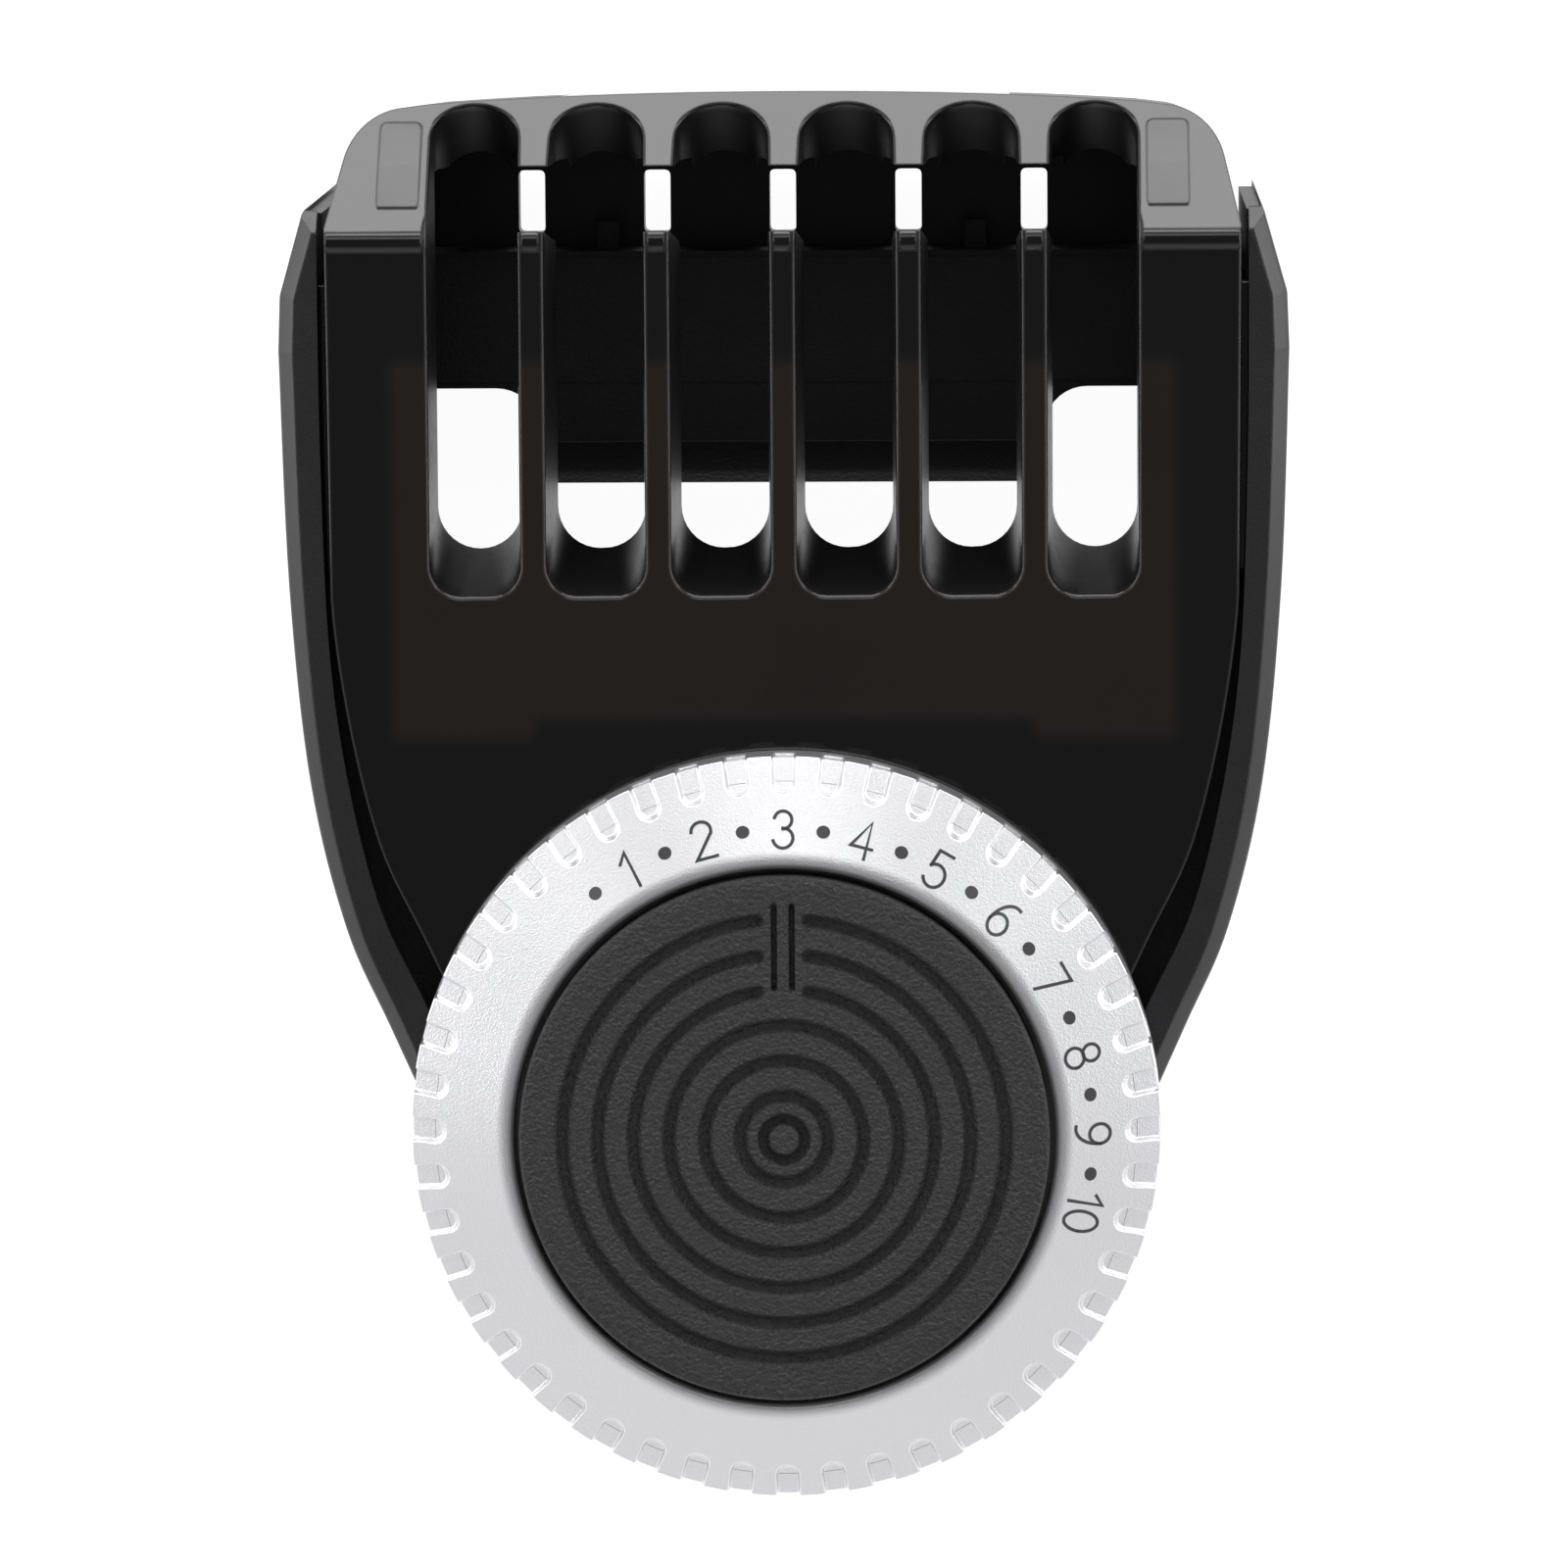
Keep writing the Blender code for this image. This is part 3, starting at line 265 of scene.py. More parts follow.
def turned(name, profile, centre=(0.0, 0.0), segments=128):
    """A profile of (radius, height) turned about a vertical axis: x = r cos a, y = r sin a."""
    profile = np.asarray(profile, float)
    turn = np.arange(segments) / segments * TAU
    x = centre[0] + np.outer(np.cos(turn), profile[:, 0])
    y = centre[1] + AXIS_Y + np.outer(np.sin(turn), profile[:, 0])
    z = np.broadcast_to(profile[:, 1], x.shape)
    return piece(name, np.stack([x, y, z], -1), grid_faces(segments, len(profile), True, True).tolist())


def rounded(corners, radius, steps=6):
    """A closed outline with each corner drawn as a quadratic curve between its two tangent points."""
    p = np.asarray(corners, float)
    r = np.broadcast_to(radius, len(p))[:, None]
    back, ahead = np.roll(p, 1, 0) - p, np.roll(p, -1, 0) - p
    back_length = np.linalg.norm(back, axis=1, keepdims=True)
    ahead_length = np.linalg.norm(ahead, axis=1, keepdims=True)
    back, ahead = back / back_length, ahead / ahead_length
    half = np.arccos(np.clip((back * ahead).sum(1, keepdims=True), -1, 1)) / 2
    reach = np.minimum(r / np.tan(half), 0.49 * np.minimum(back_length, ahead_length))
    t = np.linspace(0, 1, steps)[None, :, None]
    a, b, p = (p + back * reach)[:, None], (p + ahead * reach)[:, None], p[:, None]
    return ((1 - t) ** 2 * a + 2 * t * (1 - t) * p + t ** 2 * b).reshape(-1, 2)


def inset(outline, distance):
    """An outline moved inward along its mitred normals. It may run either way round."""
    outline = np.asarray(outline, float)
    side = np.roll(outline, -1, 0) - outline
    ahead = np.column_stack([side[:, 1], -side[:, 0]]) / np.linalg.norm(side, axis=1, keepdims=True)
    x, y = outline.T
    way = np.sign((x * np.roll(y, -1) - y * np.roll(x, -1)).sum())
    back = np.roll(ahead, 1, 0)
    return outline - way * distance * (ahead + back) / (1 + (ahead * back).sum(1, keepdims=True))


def both_sides(half):
    """A closed outline from its right half, listed from top to bottom."""
    half = np.asarray(half, float)
    inner = half[half[:, 0] > 1e-9]
    return np.vstack([half, inner[::-1] * (-1, 1)])


def arc(centre, radius, start, end, steps):
    """Points at the centre plus radius times (cos a, sin a), for angles in degrees from start to end."""
    turn = np.radians(np.linspace(start, end, steps))
    return np.column_stack([centre[0] + radius * np.cos(turn), centre[1] + radius * np.sin(turn)])


def circle(centre, radius, steps):
    """A closed ring of points: an arc that stops one step short of 360 degrees."""
    return arc(centre, radius, 0, 360 - 360 / steps, steps)


def smooth_curve(points, per_span=8):
    """A Catmull-Rom curve: each span is a cubic whose ends point along its neighbours' chord."""
    p = np.vstack([points[:1], points, points[-1:]])
    t = (np.arange(per_span) / per_span)[None, :, None]
    a, b, c, d = (p[i:len(p) - 3 + i, None] for i in range(4))
    spans = 0.5 * (2 * b + (c - a) * t + (2 * a - 5 * b + 4 * c - d) * t ** 2
                   + (3 * b - 3 * c + d - a) * t ** 3)
    return np.vstack([spans.reshape(-1, 2), p[-1:]])


def smoothstep(x):
    """0 below 0 and 1 above 1, with x squared times (3 - 2x) in between."""
    x = np.clip(x, 0, 1)
    return x * x * (3 - 2 * x)


def carve(base, steps):
    """Applies exact Booleans in order, each given as (operation, piece), and removes the helpers."""
    for operation, helper in steps:
        modifier = base.modifiers.new(helper.name, "BOOLEAN")
        modifier.operation = operation
        modifier.solver = "EXACT"
        modifier.object = helper
        helper.hide_render = True
    graph = bpy.context.evaluated_depsgraph_get()
    mesh = bpy.data.meshes.new_from_object(base.evaluated_get(graph))
    base.modifiers.clear()
    base.data = mesh
    for _, helper in steps:
        bpy.data.objects.remove(helper, do_unlink=True)
    bm = bmesh.new()
    bm.from_mesh(mesh)
    bmesh.ops.remove_doubles(bm, verts=bm.verts, dist=2e-6)
    bmesh.ops.dissolve_degenerate(bm, edges=bm.edges, dist=2e-6)
    bm.to_mesh(mesh)
    bm.free()
    return base


def cut(*helpers):
    """Steps for carve that take these pieces away."""
    return [("DIFFERENCE", helper) for helper in helpers]


def add(*helpers):
    """Steps for carve that join these pieces on."""
    return [("UNION", helper) for helper in helpers]


def finish(obj, body, materials, nodes=(), weighted=True, sharp=SHARP):
    """Shading, materials, the body that the piece rides on and the solids that it stands for."""
    mesh = obj.data
    mesh.materials.clear()
    for material in materials:
        mesh.materials.append(material)
    mesh.shade_smooth()
    mesh.set_sharp_from_angle(angle=sharp)
    if weighted:
        modifier = obj.modifiers.new("even_normals", "WEIGHTED_NORMAL")
        modifier.keep_sharp = True
        modifier.weight = 50
    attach(obj, body)
    if nodes:
        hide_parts(*nodes)
    return obj


def face_data(mesh):
    """Centres and normals of a mesh's faces."""
    centre, normal = np.empty(len(mesh.polygons) * 3), np.empty(len(mesh.polygons) * 3)
    mesh.polygons.foreach_get("center", centre)
    mesh.polygons.foreach_get("normal", normal)
    return centre.reshape(-1, 3), normal.reshape(-1, 3)


# ---------------------------------------------------------------- shared edges

def frame_side():
    """The frame's side below the ear, a smooth curve of (half-width, y)."""
    e = EAR_HALF
    return smooth_curve(np.array([(e, 35.4 * MM), (e - 0.35 * MM, 24.4 * MM), (e - 1.2 * MM, 15.4 * MM),
                                  (e - 2.75 * MM, 8.7 * MM), (e - 4.7 * MM, 4.15 * MM),
                                  (e - 7.0 * MM, -1.0 * MM)]))


def rail_edge():
    """The inner edge of the frame's front flange, a smooth curve of (half-width, y)."""
    e = EAR_HALF
    return smooth_curve(np.array([(e - 1.85 * MM, 43.5 * MM), (e - 1.9 * MM, 30.0 * MM),
                                  (e - 2.4 * MM, 19.3 * MM), (e - 4.1 * MM, 10.5 * MM),
                                  (e - 6.4 * MM, 5.3 * MM), (e - 8.9 * MM, 0.0), (e - 11.0 * MM, -4.5 * MM)]))


def half_width(edge, y):
    """Half-width of an edge at y, straight between the edge's points."""
    order = np.argsort(edge[:, 1])
    return np.interp(y, edge[order, 1], edge[order, 0])


def strip(half, top, bottom, steps=60):
    """Both sides of a strip whose half-width is a function of y."""
    y = np.linspace(top, bottom, steps)
    x = half(y)
    return np.vstack([np.column_stack([x, y]), np.column_stack([-x, y])[::-1]])


# ---------------------------------------------------------------- comb

BEND = HOOD_TOP - 6.25 * MM           # where the front face turns into the sloped top
SLOPE = 6.15 * MM                     # depth of the slope
FRAME_TOP = BEND + 2.75 * MM          # where the ears' outline would close above their slope
HOOD_HALF = EAR_HALF - 2.15 * MM
TRAVEL_DOWN = 2.5 * MM
TRAVEL_UP = 7.0 * MM
GAP = 0.3 * MM
BAND_HEAD = HOOD_TOP - 8.1 * MM       # the rear band's upper edge


def comb_plan(s):
    """The hood's crown falls with the power 2.2 of x into two corner arcs. Below it the plate's half-width
    is the lesser of a slight taper and the frame's rail less a gap, down to the tongue under the dial."""
    rail = rail_edge()
    y = np.concatenate([np.linspace(BEND, 23.95 * MM, 10), np.linspace(23 * MM, 0, 30)])
    straight = HOOD_HALF - 0.1 * MM * (BEND - y) / (BEND - s.slot_low)
    side = np.minimum(straight, half_width(rail, y - TRAVEL_DOWN - GAP))
    corner = 3.0 * MM
    top = HOOD_TOP - 0.5 * MM
    x = np.linspace(0, HOOD_HALF - 4.6 * MM, 12)
    crown = np.column_stack([x, HOOD_TOP - 0.5 * MM * (x / x[-1]) ** 2.2])
    half = [crown, arc((HOOD_HALF - 0.55 * MM - corner, top - 0.15 * MM - corner), corner, 80, 10, 12),
            np.column_stack([side, y]), arc((8.0 * MM, -2.2 * MM), 1.5 * MM, 90, 180, 5),
            arc((3.5 * MM, -9.6 * MM), 3.0 * MM, 0, -90, 6), [(0.0, -12.6 * MM)]]
    return both_sides(np.vstack(half))


def slope_height(y):
    """Height of the hood's sloped top over the front face, as a function of y, with a soft bend: a
    parabola joins the level face and the slope within 0.2 mm of the bend."""
    soft, past = 0.2 * MM, y - BEND
    return -np.where(np.abs(past) < soft, (past + soft) ** 2 / (4 * soft), np.clip(past, 0, SLOPE))


def slot_ring(s, centre, offset, sink, share_down=0.0, floor=0.0):
    """One ring of a slot's cutter. Its ends are drafted: the lower end rises 0.25 and the upper end falls
    0.53 for each unit of depth, and its sides close by 0.035. The ring follows the sloped top, sunk by
    a distance, and then runs a share of the way down to a level floor."""
    bend = 0.79
    up = np.concatenate([np.linspace(0, bend, 14)[1:-1], bend + np.linspace(-0.02, 0.02, 9),
                         np.linspace(bend, 1, 8)[1:-1]])
    arch, side, quarter = np.linspace(0, 180, 33), np.full(len(up), 180.0), np.linspace(180, 270, 10)
    turn = np.radians(np.concatenate([arch, side, quarter, quarter + 90, side + 180]))
    rise = np.concatenate([arch * 0 + 1, up[::-1], quarter * 0, quarter * 0, up])
    across = np.where(np.cos(turn) < 0, -1.0, 1.0)
    outward = np.sign(centre) * (abs(centre) > 2 * s.pitch)
    depth = np.zeros(len(turn))
    for _ in range(8):                # depth and place each depend on the other, and 8 rounds settle them
        loss = abs(outward) * s.outer_loss / 2 * (1 - depth / (10.5 * MM))
        half = (s.pitch - s.rib) / 2 - 0.035 * depth - loss
        low = s.slot_low + 0.25 * depth
        high = HOOD_TOP - 0.85 * MM - 0.53 * (depth - 5.5 * MM)
        corner = np.minimum(1.35 * MM + 0.10 * depth, half)
        r = corner + (half - corner) * rise
        cy = low + corner + (high - half - low - corner) * rise
        x, y = across * (half - r) + (r + offset) * np.cos(turn), cy + (r + offset) * np.sin(turn)
        skin = slope_height(y) - sink
        z = skin + share_down * (floor - skin)
        depth = np.maximum(-z, 0)
    return np.column_stack([x + centre - outward * loss, y + AXIS_Y, FRONT + z])


def slot_cutter(s, index, centre):
    """A slot with a rounded edge: a quarter circle flares it out to the surface."""
    e = s.edge
    rings = [slot_ring(s, centre, 1.05 * e, -CLEAR), slot_ring(s, centre, 1.05 * e, -0.02 * e)]
    rings += [slot_ring(s, centre, e * (1 - math.cos(a)), e * (1 - math.sin(a)))
              for a in np.radians((80, 60, 40, 20, 0))]
    rings += [slot_ring(s, centre, 0.0, e, t, -10.5 * MM) for t in np.linspace(0.12, 1, 7)]
    return stack(f"slot_{index}", np.stack(rings))


def rib_window(s, index, centre):
    """The gap through one rib behind the bend: a profile in Y and Z, lower at the rib's rear, carried
    across the rib."""
    half = s.rib / 2 + 0.7 * MM
    low, high, end = BEND + 0.05 * MM, BEND + 2.8 * MM, FRONT - 11.9 * MM
    profile = [(low, FRONT + CLEAR), (low, FRONT), (low - 0.9 * MM, FRONT - s.rib_depth),
               (low - 0.9 * MM, end), (high, end), (high, FRONT + CLEAR)]
    return bar(f"rib_window_{index}", profile, centre - half, centre + half)


def rear_slit(index, centre):
    """A slit with rounded corners through the hood's back wall, behind a rib."""
    middle = centre * 1.04 - 0.45 * MM
    half, low, high = 0.62 * MM, HOOD_TOP - 7.5 * MM, HOOD_TOP - 4.55 * MM
    outline = rounded([(middle - half, low), (middle + half, low), (middle + half, high),
                       (middle - half, high)], 0.28 * MM, 5)
    return prism(f"rear_slit_{index}", outline, HOOD_BACK - CLEAR, HOOD_BACK + 3 * MM)


def hood_slopes(s):
    """The cutter for the sloped top with its rounded bend and crest, the leaning top wall and the bevel at
    the hood's back."""
    wide, far = HOOD_HALF + CLEAR, HOOD_TOP + 3 * MM
    crest_z, lift = FRONT - SLOPE, 0.004 * MM
    skin = rounded([(BEND - 3 * MM, FRONT + lift), (BEND, FRONT + lift), (BEND + SLOPE, crest_z),
                    (HOOD_TOP - s.draft, HOOD_BACK + 2.4 * MM),
                    (HOOD_TOP - s.draft - 1.9 * MM, HOOD_BACK - lift), (HOOD_TOP - 5 * MM, HOOD_BACK - lift),
                    (HOOD_TOP - 5 * MM, HOOD_BACK - 3 * MM), (far, HOOD_BACK - 3 * MM), (far, FRONT + 3 * MM),
                    (BEND - 3 * MM, FRONT + 3 * MM)],
                   np.array((0.01, 0.5, 0.12, 0.9, 0.9, 0.01, 0.1, 0.1, 0.1, 0.1)) * MM, 10)
    return cut(bar("slope", skin, -wide, wide))


def hood_hollow(s):
    """Cutters for all that is behind the plate and inside the hood: profiles in Y and Z carried across,
    boxes beside the slots, and the way of the frame's rear band."""
    wide, low = HOOD_HALF + CLEAR, HOOD_BACK - CLEAR
    plate, ribs = FRONT - s.plate, FRONT - s.rib_depth
    under = [(-20 * MM, low), (-20 * MM, plate), (s.slot_low - 1.2 * MM, plate),
             (s.slot_low - 1.2 * MM, ribs), (HOOD_TOP - 12.7 * MM, ribs), (HOOD_TOP - 12.7 * MM, low)]
    back, ceiling, step = HOOD_BACK + s.wall, HOOD_TOP - 2.0 * MM, FRONT - 9.9 * MM
    inside = [(25 * MM, back), (ceiling - 1.0 * MM, back), (ceiling, back + 1.0 * MM), (ceiling, step),
              (HOOD_TOP - 3.9 * MM, step), (HOOD_TOP - 3.9 * MM, ribs), (25 * MM, ribs)]
    inner = HOOD_HALF - s.wall
    beside = (s.slots - 1) / 2 * s.pitch + (s.pitch - s.rib) / 2 + 0.85 * MM
    boxes = side_blocks("beside", beside, wide, (s.slot_low - 2 * MM, HOOD_TOP - 12.7 * MM),
                        (ribs - 0.01 * MM, plate))
    band = block("band_way", (-wide, 0, BAND_LOW - GAP),
                 (wide, BAND_HEAD + TRAVEL_DOWN + GAP, BAND_LOW + 3.3 * MM + GAP))
    return cut(bar("under_plate", under, -wide, wide), bar("inside", inside, -inner, inner), *boxes, band)


def comb_fittings(s):
    """The bead is half an ellipse carried along the bend. A pad is a two-facet profile carried across and
    kept inside a rounded plan. The runners are boxes that slide under the flanges."""
    turn = np.linspace(0, TAU, 25)[:-1]
    bead = np.column_stack([BEND - 0.42 * MM + 0.55 * MM * np.cos(turn),
                            FRONT - 0.3 * MM + (0.3 * MM + s.bead) * np.sin(turn)])
    steps = add(bar("bead", bead, -HOOD_HALF + 0.12 * MM, HOOD_HALF - 0.12 * MM))
    low, ridge, high = BEND + 0.95 * MM, BEND + 2.95 * MM, BEND + 4.75 * MM
    facets = [(low, -1.6 * MM), (low, -0.9 * MM), (ridge, -2.6 * MM), (high, -4.5 * MM), (high, -5.4 * MM)]
    for side in (-1, 1):
        middle = side * (HOOD_HALF - 3.3 * MM)
        pad = bar(f"pad_{side}", rounded(np.array(facets) + (0, FRONT), 0.12 * MM, 5), middle - 1.2 * MM,
                  middle + 1.2 * MM)
        plan = rounded([(middle - 0.95 * MM, low + 0.01 * MM), (middle + 0.95 * MM, low + 0.01 * MM),
                        (middle + 0.95 * MM, high - 0.01 * MM), (middle - 0.95 * MM, high - 0.01 * MM)],
                       0.35 * MM, 6)
        steps += add(carve(pad, [("INTERSECT", prism(f"pad_plan_{side}", plan, 10 * MM, FRONT + CLEAR))]))
    top = FRAME_FACE - 1.0 * MM - GAP
    return steps + add(*side_blocks("runner", HOOD_HALF - s.wall, EAR_HALF - 1.75 * MM,
                                    (25 * MM, 38 * MM), (top - 1.0 * MM, top)))


def dial_cutters(s):
    """The post's way is a slot that ends in half circles, and the follower pin's hole is a circle."""
    low, high = lowest("follower_pin"), highest("follower_pin")
    r = POST_R + GAP
    way = np.vstack([arc((0, TRAVEL_DOWN), r, 0, 180, 24), arc((0, -TRAVEL_UP), r, 180, 360, 24)])
    hole = circle((0, (high.y + low.y) / 2 - AXIS_Y), (high.x - low.x) / 2 + GAP, 32)
    return cut(prism("post_way", way, FRONT - s.plate - CLEAR, FRONT + CLEAR),
               prism("pin_hole", hole, FRONT - s.plate + 0.4 * MM, FRONT + CLEAR))


class COMB_OT_hood(bpy.types.Operator):
    """The sliding comb: one smoky moulding with six slots, five ribs and a hood."""
    bl_idname = "comb.hood"
    bl_label = "Comb hood"

    def execute(self, context):
        s = context.scene.comb_sizes
        comb = rounded_prism("comb_hood", comb_plan(s), HOOD_BACK, FRONT, 0.3 * MM, s.edge, 0.85 * MM)
        centres = (np.arange(s.slots) - (s.slots - 1) / 2) * s.pitch
        ribs = (centres[1:] + centres[:-1]) / 2
        steps = hood_slopes(s) + hood_hollow(s) + comb_fittings(s)
        steps += cut(*(slot_cutter(s, i, c) for i, c in enumerate(centres)))
        steps += cut(*(rib_window(s, i, c) for i, c in enumerate(ribs)))
        steps += cut(*(rear_slit(i, c) for i, c in enumerate(ribs)))
        carve(comb, steps + dial_cutters(s))
        finish(comb, "comb_body", [smoke_gloss(), smoke_inner()], ["comb"])
        centre, _ = face_data(comb.data)
        y = centre[:, 1] - AXIS_Y
        sunk = centre[:, 2] < FRONT + slope_height(y) - 0.3 * MM
        within = ((np.abs(centre[:, 0]) < HOOD_HALF - 0.1 * MM) & (y > s.slot_low - 0.2 * MM)
                  & (y < HOOD_TOP - 0.8 * MM))
        comb.data.polygons.foreach_set("material_index", (sunk & within).astype(np.int32))
        return {"FINISHED"}


# ---------------------------------------------------------------- frame

def base_levels(s):
    """The rear and front faces of the base plate, which lies under the comb's plate."""
    top = FRONT - 2.2 * MM - s.plate_gap
    return top - s.base, top


def frame_plan():
    """Half of the plan, turned over for the other half: the ear's rounded corners, the tapering side and
    an arc round the dial's axis."""
    e, lobe = EAR_HALF, 15.8 * MM
    ears = rounded([(0.0, FRAME_TOP - 2 * MM), (0.0, FRAME_TOP), (e - 2.45 * MM, FRAME_TOP),
                    (e - 1.15 * MM, FRAME_TOP - 1.9 * MM), (e - 0.1 * MM, FRAME_TOP - 5.6 * MM),
                    (e, 35.0 * MM), (e - 0.5 * MM, 30 * MM)],
                   (0.1 * MM, 0.1 * MM, 0.5 * MM, 0.9 * MM, 1.2 * MM, 1.5 * MM, 0.1 * MM), 6)[6:36]
    side = frame_side()
    side = side[(side[:, 1] < 33.5 * MM) & (side[:, 1] > -0.7 * MM)]
    start = math.degrees(math.asin(-1.0 / 15.8))
    half = np.vstack([ears, side, arc((0, 0), lobe, start, -90, 30)[:-1], [(0.0, -lobe)]])
    half[0] = (0.0, half[0, 1])
    return both_sides(half)


def frame_blank(s):
    """The plan's outline stacked in levels, each moved in by its own distance: a rounded foot, a straight
    wall and a front chamfer with soft edges."""
    outline = frame_plan()
    c, soft = s.chamfer, 0.12 * MM
    levels = [(0.3 * MM, 0.0), (0.1 * MM, 0.1 * MM), (0.0, 0.3 * MM), (0.0, FRAME_FACE - c - soft),
              (0.25 * soft, FRAME_FACE - c), (soft, FRAME_FACE - c + 0.9 * soft),
              (c - 0.5 * soft, FRAME_FACE - 0.6 * soft), (c, FRAME_FACE - 0.15 * soft),
              (c + 0.6 * soft, FRAME_FACE)]
    return stack("clip_frame", np.stack([at_level(inset(outline, d), z) for d, z in levels]))


def frame_bays(s):
    """The comb's bay, the undercuts beside its plate and the bay for the trimmer's head, each a strip whose
    half-width follows the rail or the side less the wall."""
    rail, side = rail_edge(), frame_side()
    above, below = FRAME_TOP + CLEAR, -6.0 * MM
    flange_low, (base_low, base_top) = FRAME_FACE - s.flange, base_levels(s)

    def rail_half(y):
        return half_width(rail, y)

    def cheek_half(y):
        return np.minimum(half_width(side, y) - s.wall, EAR_HALF - 1.25 * MM)

    top = FRAME_TOP - 0.2 * MM
    edge = rail_half(top)
    bay = strip(rail_half, FRAME_TOP + 0.2 * MM, -4.4 * MM)
    return cut(prism("comb_bay", bay, flange_low, FRONT + CLEAR),
               block("comb_bay_top", (-edge, top, flange_low), (edge, above, FRONT + CLEAR)),
               prism("undercut", strip(cheek_half, above, below), base_top, flange_low + 0.01 * MM),
               prism("head_bay", strip(cheek_half, above, below), -CLEAR, base_low),
               prism("above_ledge", strip(cheek_half, above, 31 * MM), base_low - CLEAR, base_top + CLEAR))


def frame_ends(s):
    """Cutters as rounded outlines carried straight: the base plate's window, the lobe's clearances, the
    sloped ears and the relief between the feet."""
    wide, low = EAR_HALF + CLEAR, -17 * MM
    base_low, base_top = base_levels(s)
    window = rounded(both_sides([(0.0, 32 * MM), (18.05 * MM, 32 * MM), (18.05 * MM, 17.07 * MM),
                                 (11.6 * MM, 17.07 * MM), (11.6 * MM, 18.6 * MM), (0.0, 18.6 * MM)]),
                     0.25 * MM, 4)
    rise = 2.9 * MM
    ear = rounded([(BEND - 0.5 * MM, FRAME_FACE + 0.004 * MM), (BEND, FRAME_FACE + 0.004 * MM),
                   (BEND + rise, FRAME_FACE - rise), (BEND + rise, 1.2 * MM), (BEND + 1.6 * MM, -0.1 * MM),
                   (BEND + 4 * MM, -CLEAR), (BEND + 4 * MM, FRONT + CLEAR), (BEND - 0.5 * MM, FRONT + CLEAR)],
                  (0.02 * MM, 0.3 * MM, 0.2 * MM, 0.3 * MM, 0.05 * MM, 0.05 * MM, 0.05 * MM, 0.05 * MM), 6)
    relief = rounded([(9 * MM, -CLEAR), (9 * MM, 0), (11.2 * MM, 2.2 * MM), (22.3 * MM, 2.2 * MM),
                      (24.5 * MM, 0), (24.5 * MM, -CLEAR)], (0.05 * MM, 0.3 * MM, 0.8 * MM, 0.8 * MM,
                                                              0.3 * MM, 0.05 * MM), 8)
    corner = [(-5 * MM, -CLEAR), (3.6 * MM, -CLEAR), (3.6 * MM, 0), (1.5 * MM, 3.4 * MM),
              (-5 * MM, 3.4 * MM)]
    return cut(prism("window", window, base_low - CLEAR, base_top + CLEAR),
               block("lobe_top", (-wide, low, base_top), (wide, 1.5 * MM, FRONT + CLEAR)),
               block("lobe_under", (-wide, low, -CLEAR), (wide, 1.5 * MM, base_low)),
               bar("ear_slope", ear, -wide, wide), bar("foot_relief", relief, -wide, wide),
               bar("lower_corner", corner, -wide, wide))


def rear_band(s):
    """The bridge behind the trimmer's head: a plan with a lower tab, cut by a sloped lip in Y and Z, with
    two small stops, three seats for the head and a fill in the slit beside each ear."""
    low, top = BAND_LOW, BAND_LOW + s.band
    foot = HOOD_TOP - 14.5 * MM
    end = foot - 4.6 * MM
    reach, tab = EAR_HALF - 0.75 * MM, 11.8 * MM
    half = np.vstack([[(0.0, BAND_HEAD), (reach, BAND_HEAD), (reach, foot)],
                      arc((tab + 2 * MM, foot - 2 * MM), 2 * MM, 90, 180, 10),
                      [(tab, foot - 4.2 * MM), (tab - 0.4 * MM, end), (0.0, end)]])
    band = prism("band", both_sides(half), low, top)
    lip = bar("lip", [(end - CLEAR, top + CLEAR), (end - CLEAR, top - 1.6 * MM), (end, top - 1.6 * MM),
                      (end + 0.7 * MM, top - 1.2 * MM), (end + 2.0 * MM, top - 1.0 * MM),
                      (end + 2.1 * MM, top), (end + 2.1 * MM, top + CLEAR)], -15 * MM, 15 * MM)
    carve(band, cut(lip))
    base_low, _ = base_levels(s)
    stops = side_blocks("stop", 8.1 * MM, 9.1 * MM, (BAND_HEAD - 1 * MM, BAND_HEAD + 1.3 * MM),
                        (low + 0.5 * MM, low + 1.5 * MM))
    seats = [block("rear_seat", (-16.8 * MM, foot + 0.3 * MM, top - 0.5 * MM),
                   (16.8 * MM, BAND_HEAD - 0.3 * MM, top + 0.1 * MM))]
    seats += side_blocks("front_seat", 10 * MM, 14 * MM, (8 * MM, 14 * MM),
                         (base_low - 0.1 * MM, base_low + 0.5 * MM))
    fills = side_blocks("ear_fill", 20.95 * MM, 21.65 * MM, (38.0 * MM, 41.2 * MM), (1.4 * MM, 17.0 * MM))
    return add(band, *stops, *seats, *fills)


def base_holes(s):
    """The post's hole and the pilot holes of its three screws, all circles in plan."""
    base_low, base_top = base_levels(s)
    holes = [prism("post_hole", circle((0, 0), POST_R + GAP, 64), base_low - CLEAR, base_top + CLEAR)]
    holes += [prism(f"pilot_{i}", circle(spot, PILOT_R, 24), base_low - CLEAR, base_top - 0.35 * MM)
              for i, spot in enumerate(post_screw_spots())]
    return cut(*holes)


class COMB_OT_frame(bpy.types.Operator):
    """The clip-on frame: one matte black moulding with a smooth chamfered rim."""
    bl_idname = "comb.frame"
    bl_label = "Clip-on frame"

    def execute(self, context):
        s = context.scene.frame_sizes
        frame_piece = frame_blank(s)
        carve(frame_piece, frame_bays(s) + frame_ends(s) + rear_band(s) + base_holes(s))
        finish(frame_piece, "frame_body", [frame_grain(), rim_satin()], ["frame"])
        centre, normal = face_data(frame_piece.data)
        lean = normal[:, 2]
        rim = (lean > 0.15) & (lean < 0.97) & (centre[:, 2] > FRAME_FACE - 3.2 * MM)
        frame_piece.data.polygons.foreach_set("material_index", rim.astype(np.int32))
        return {"FINISHED"}


# ---------------------------------------------------------------- dial

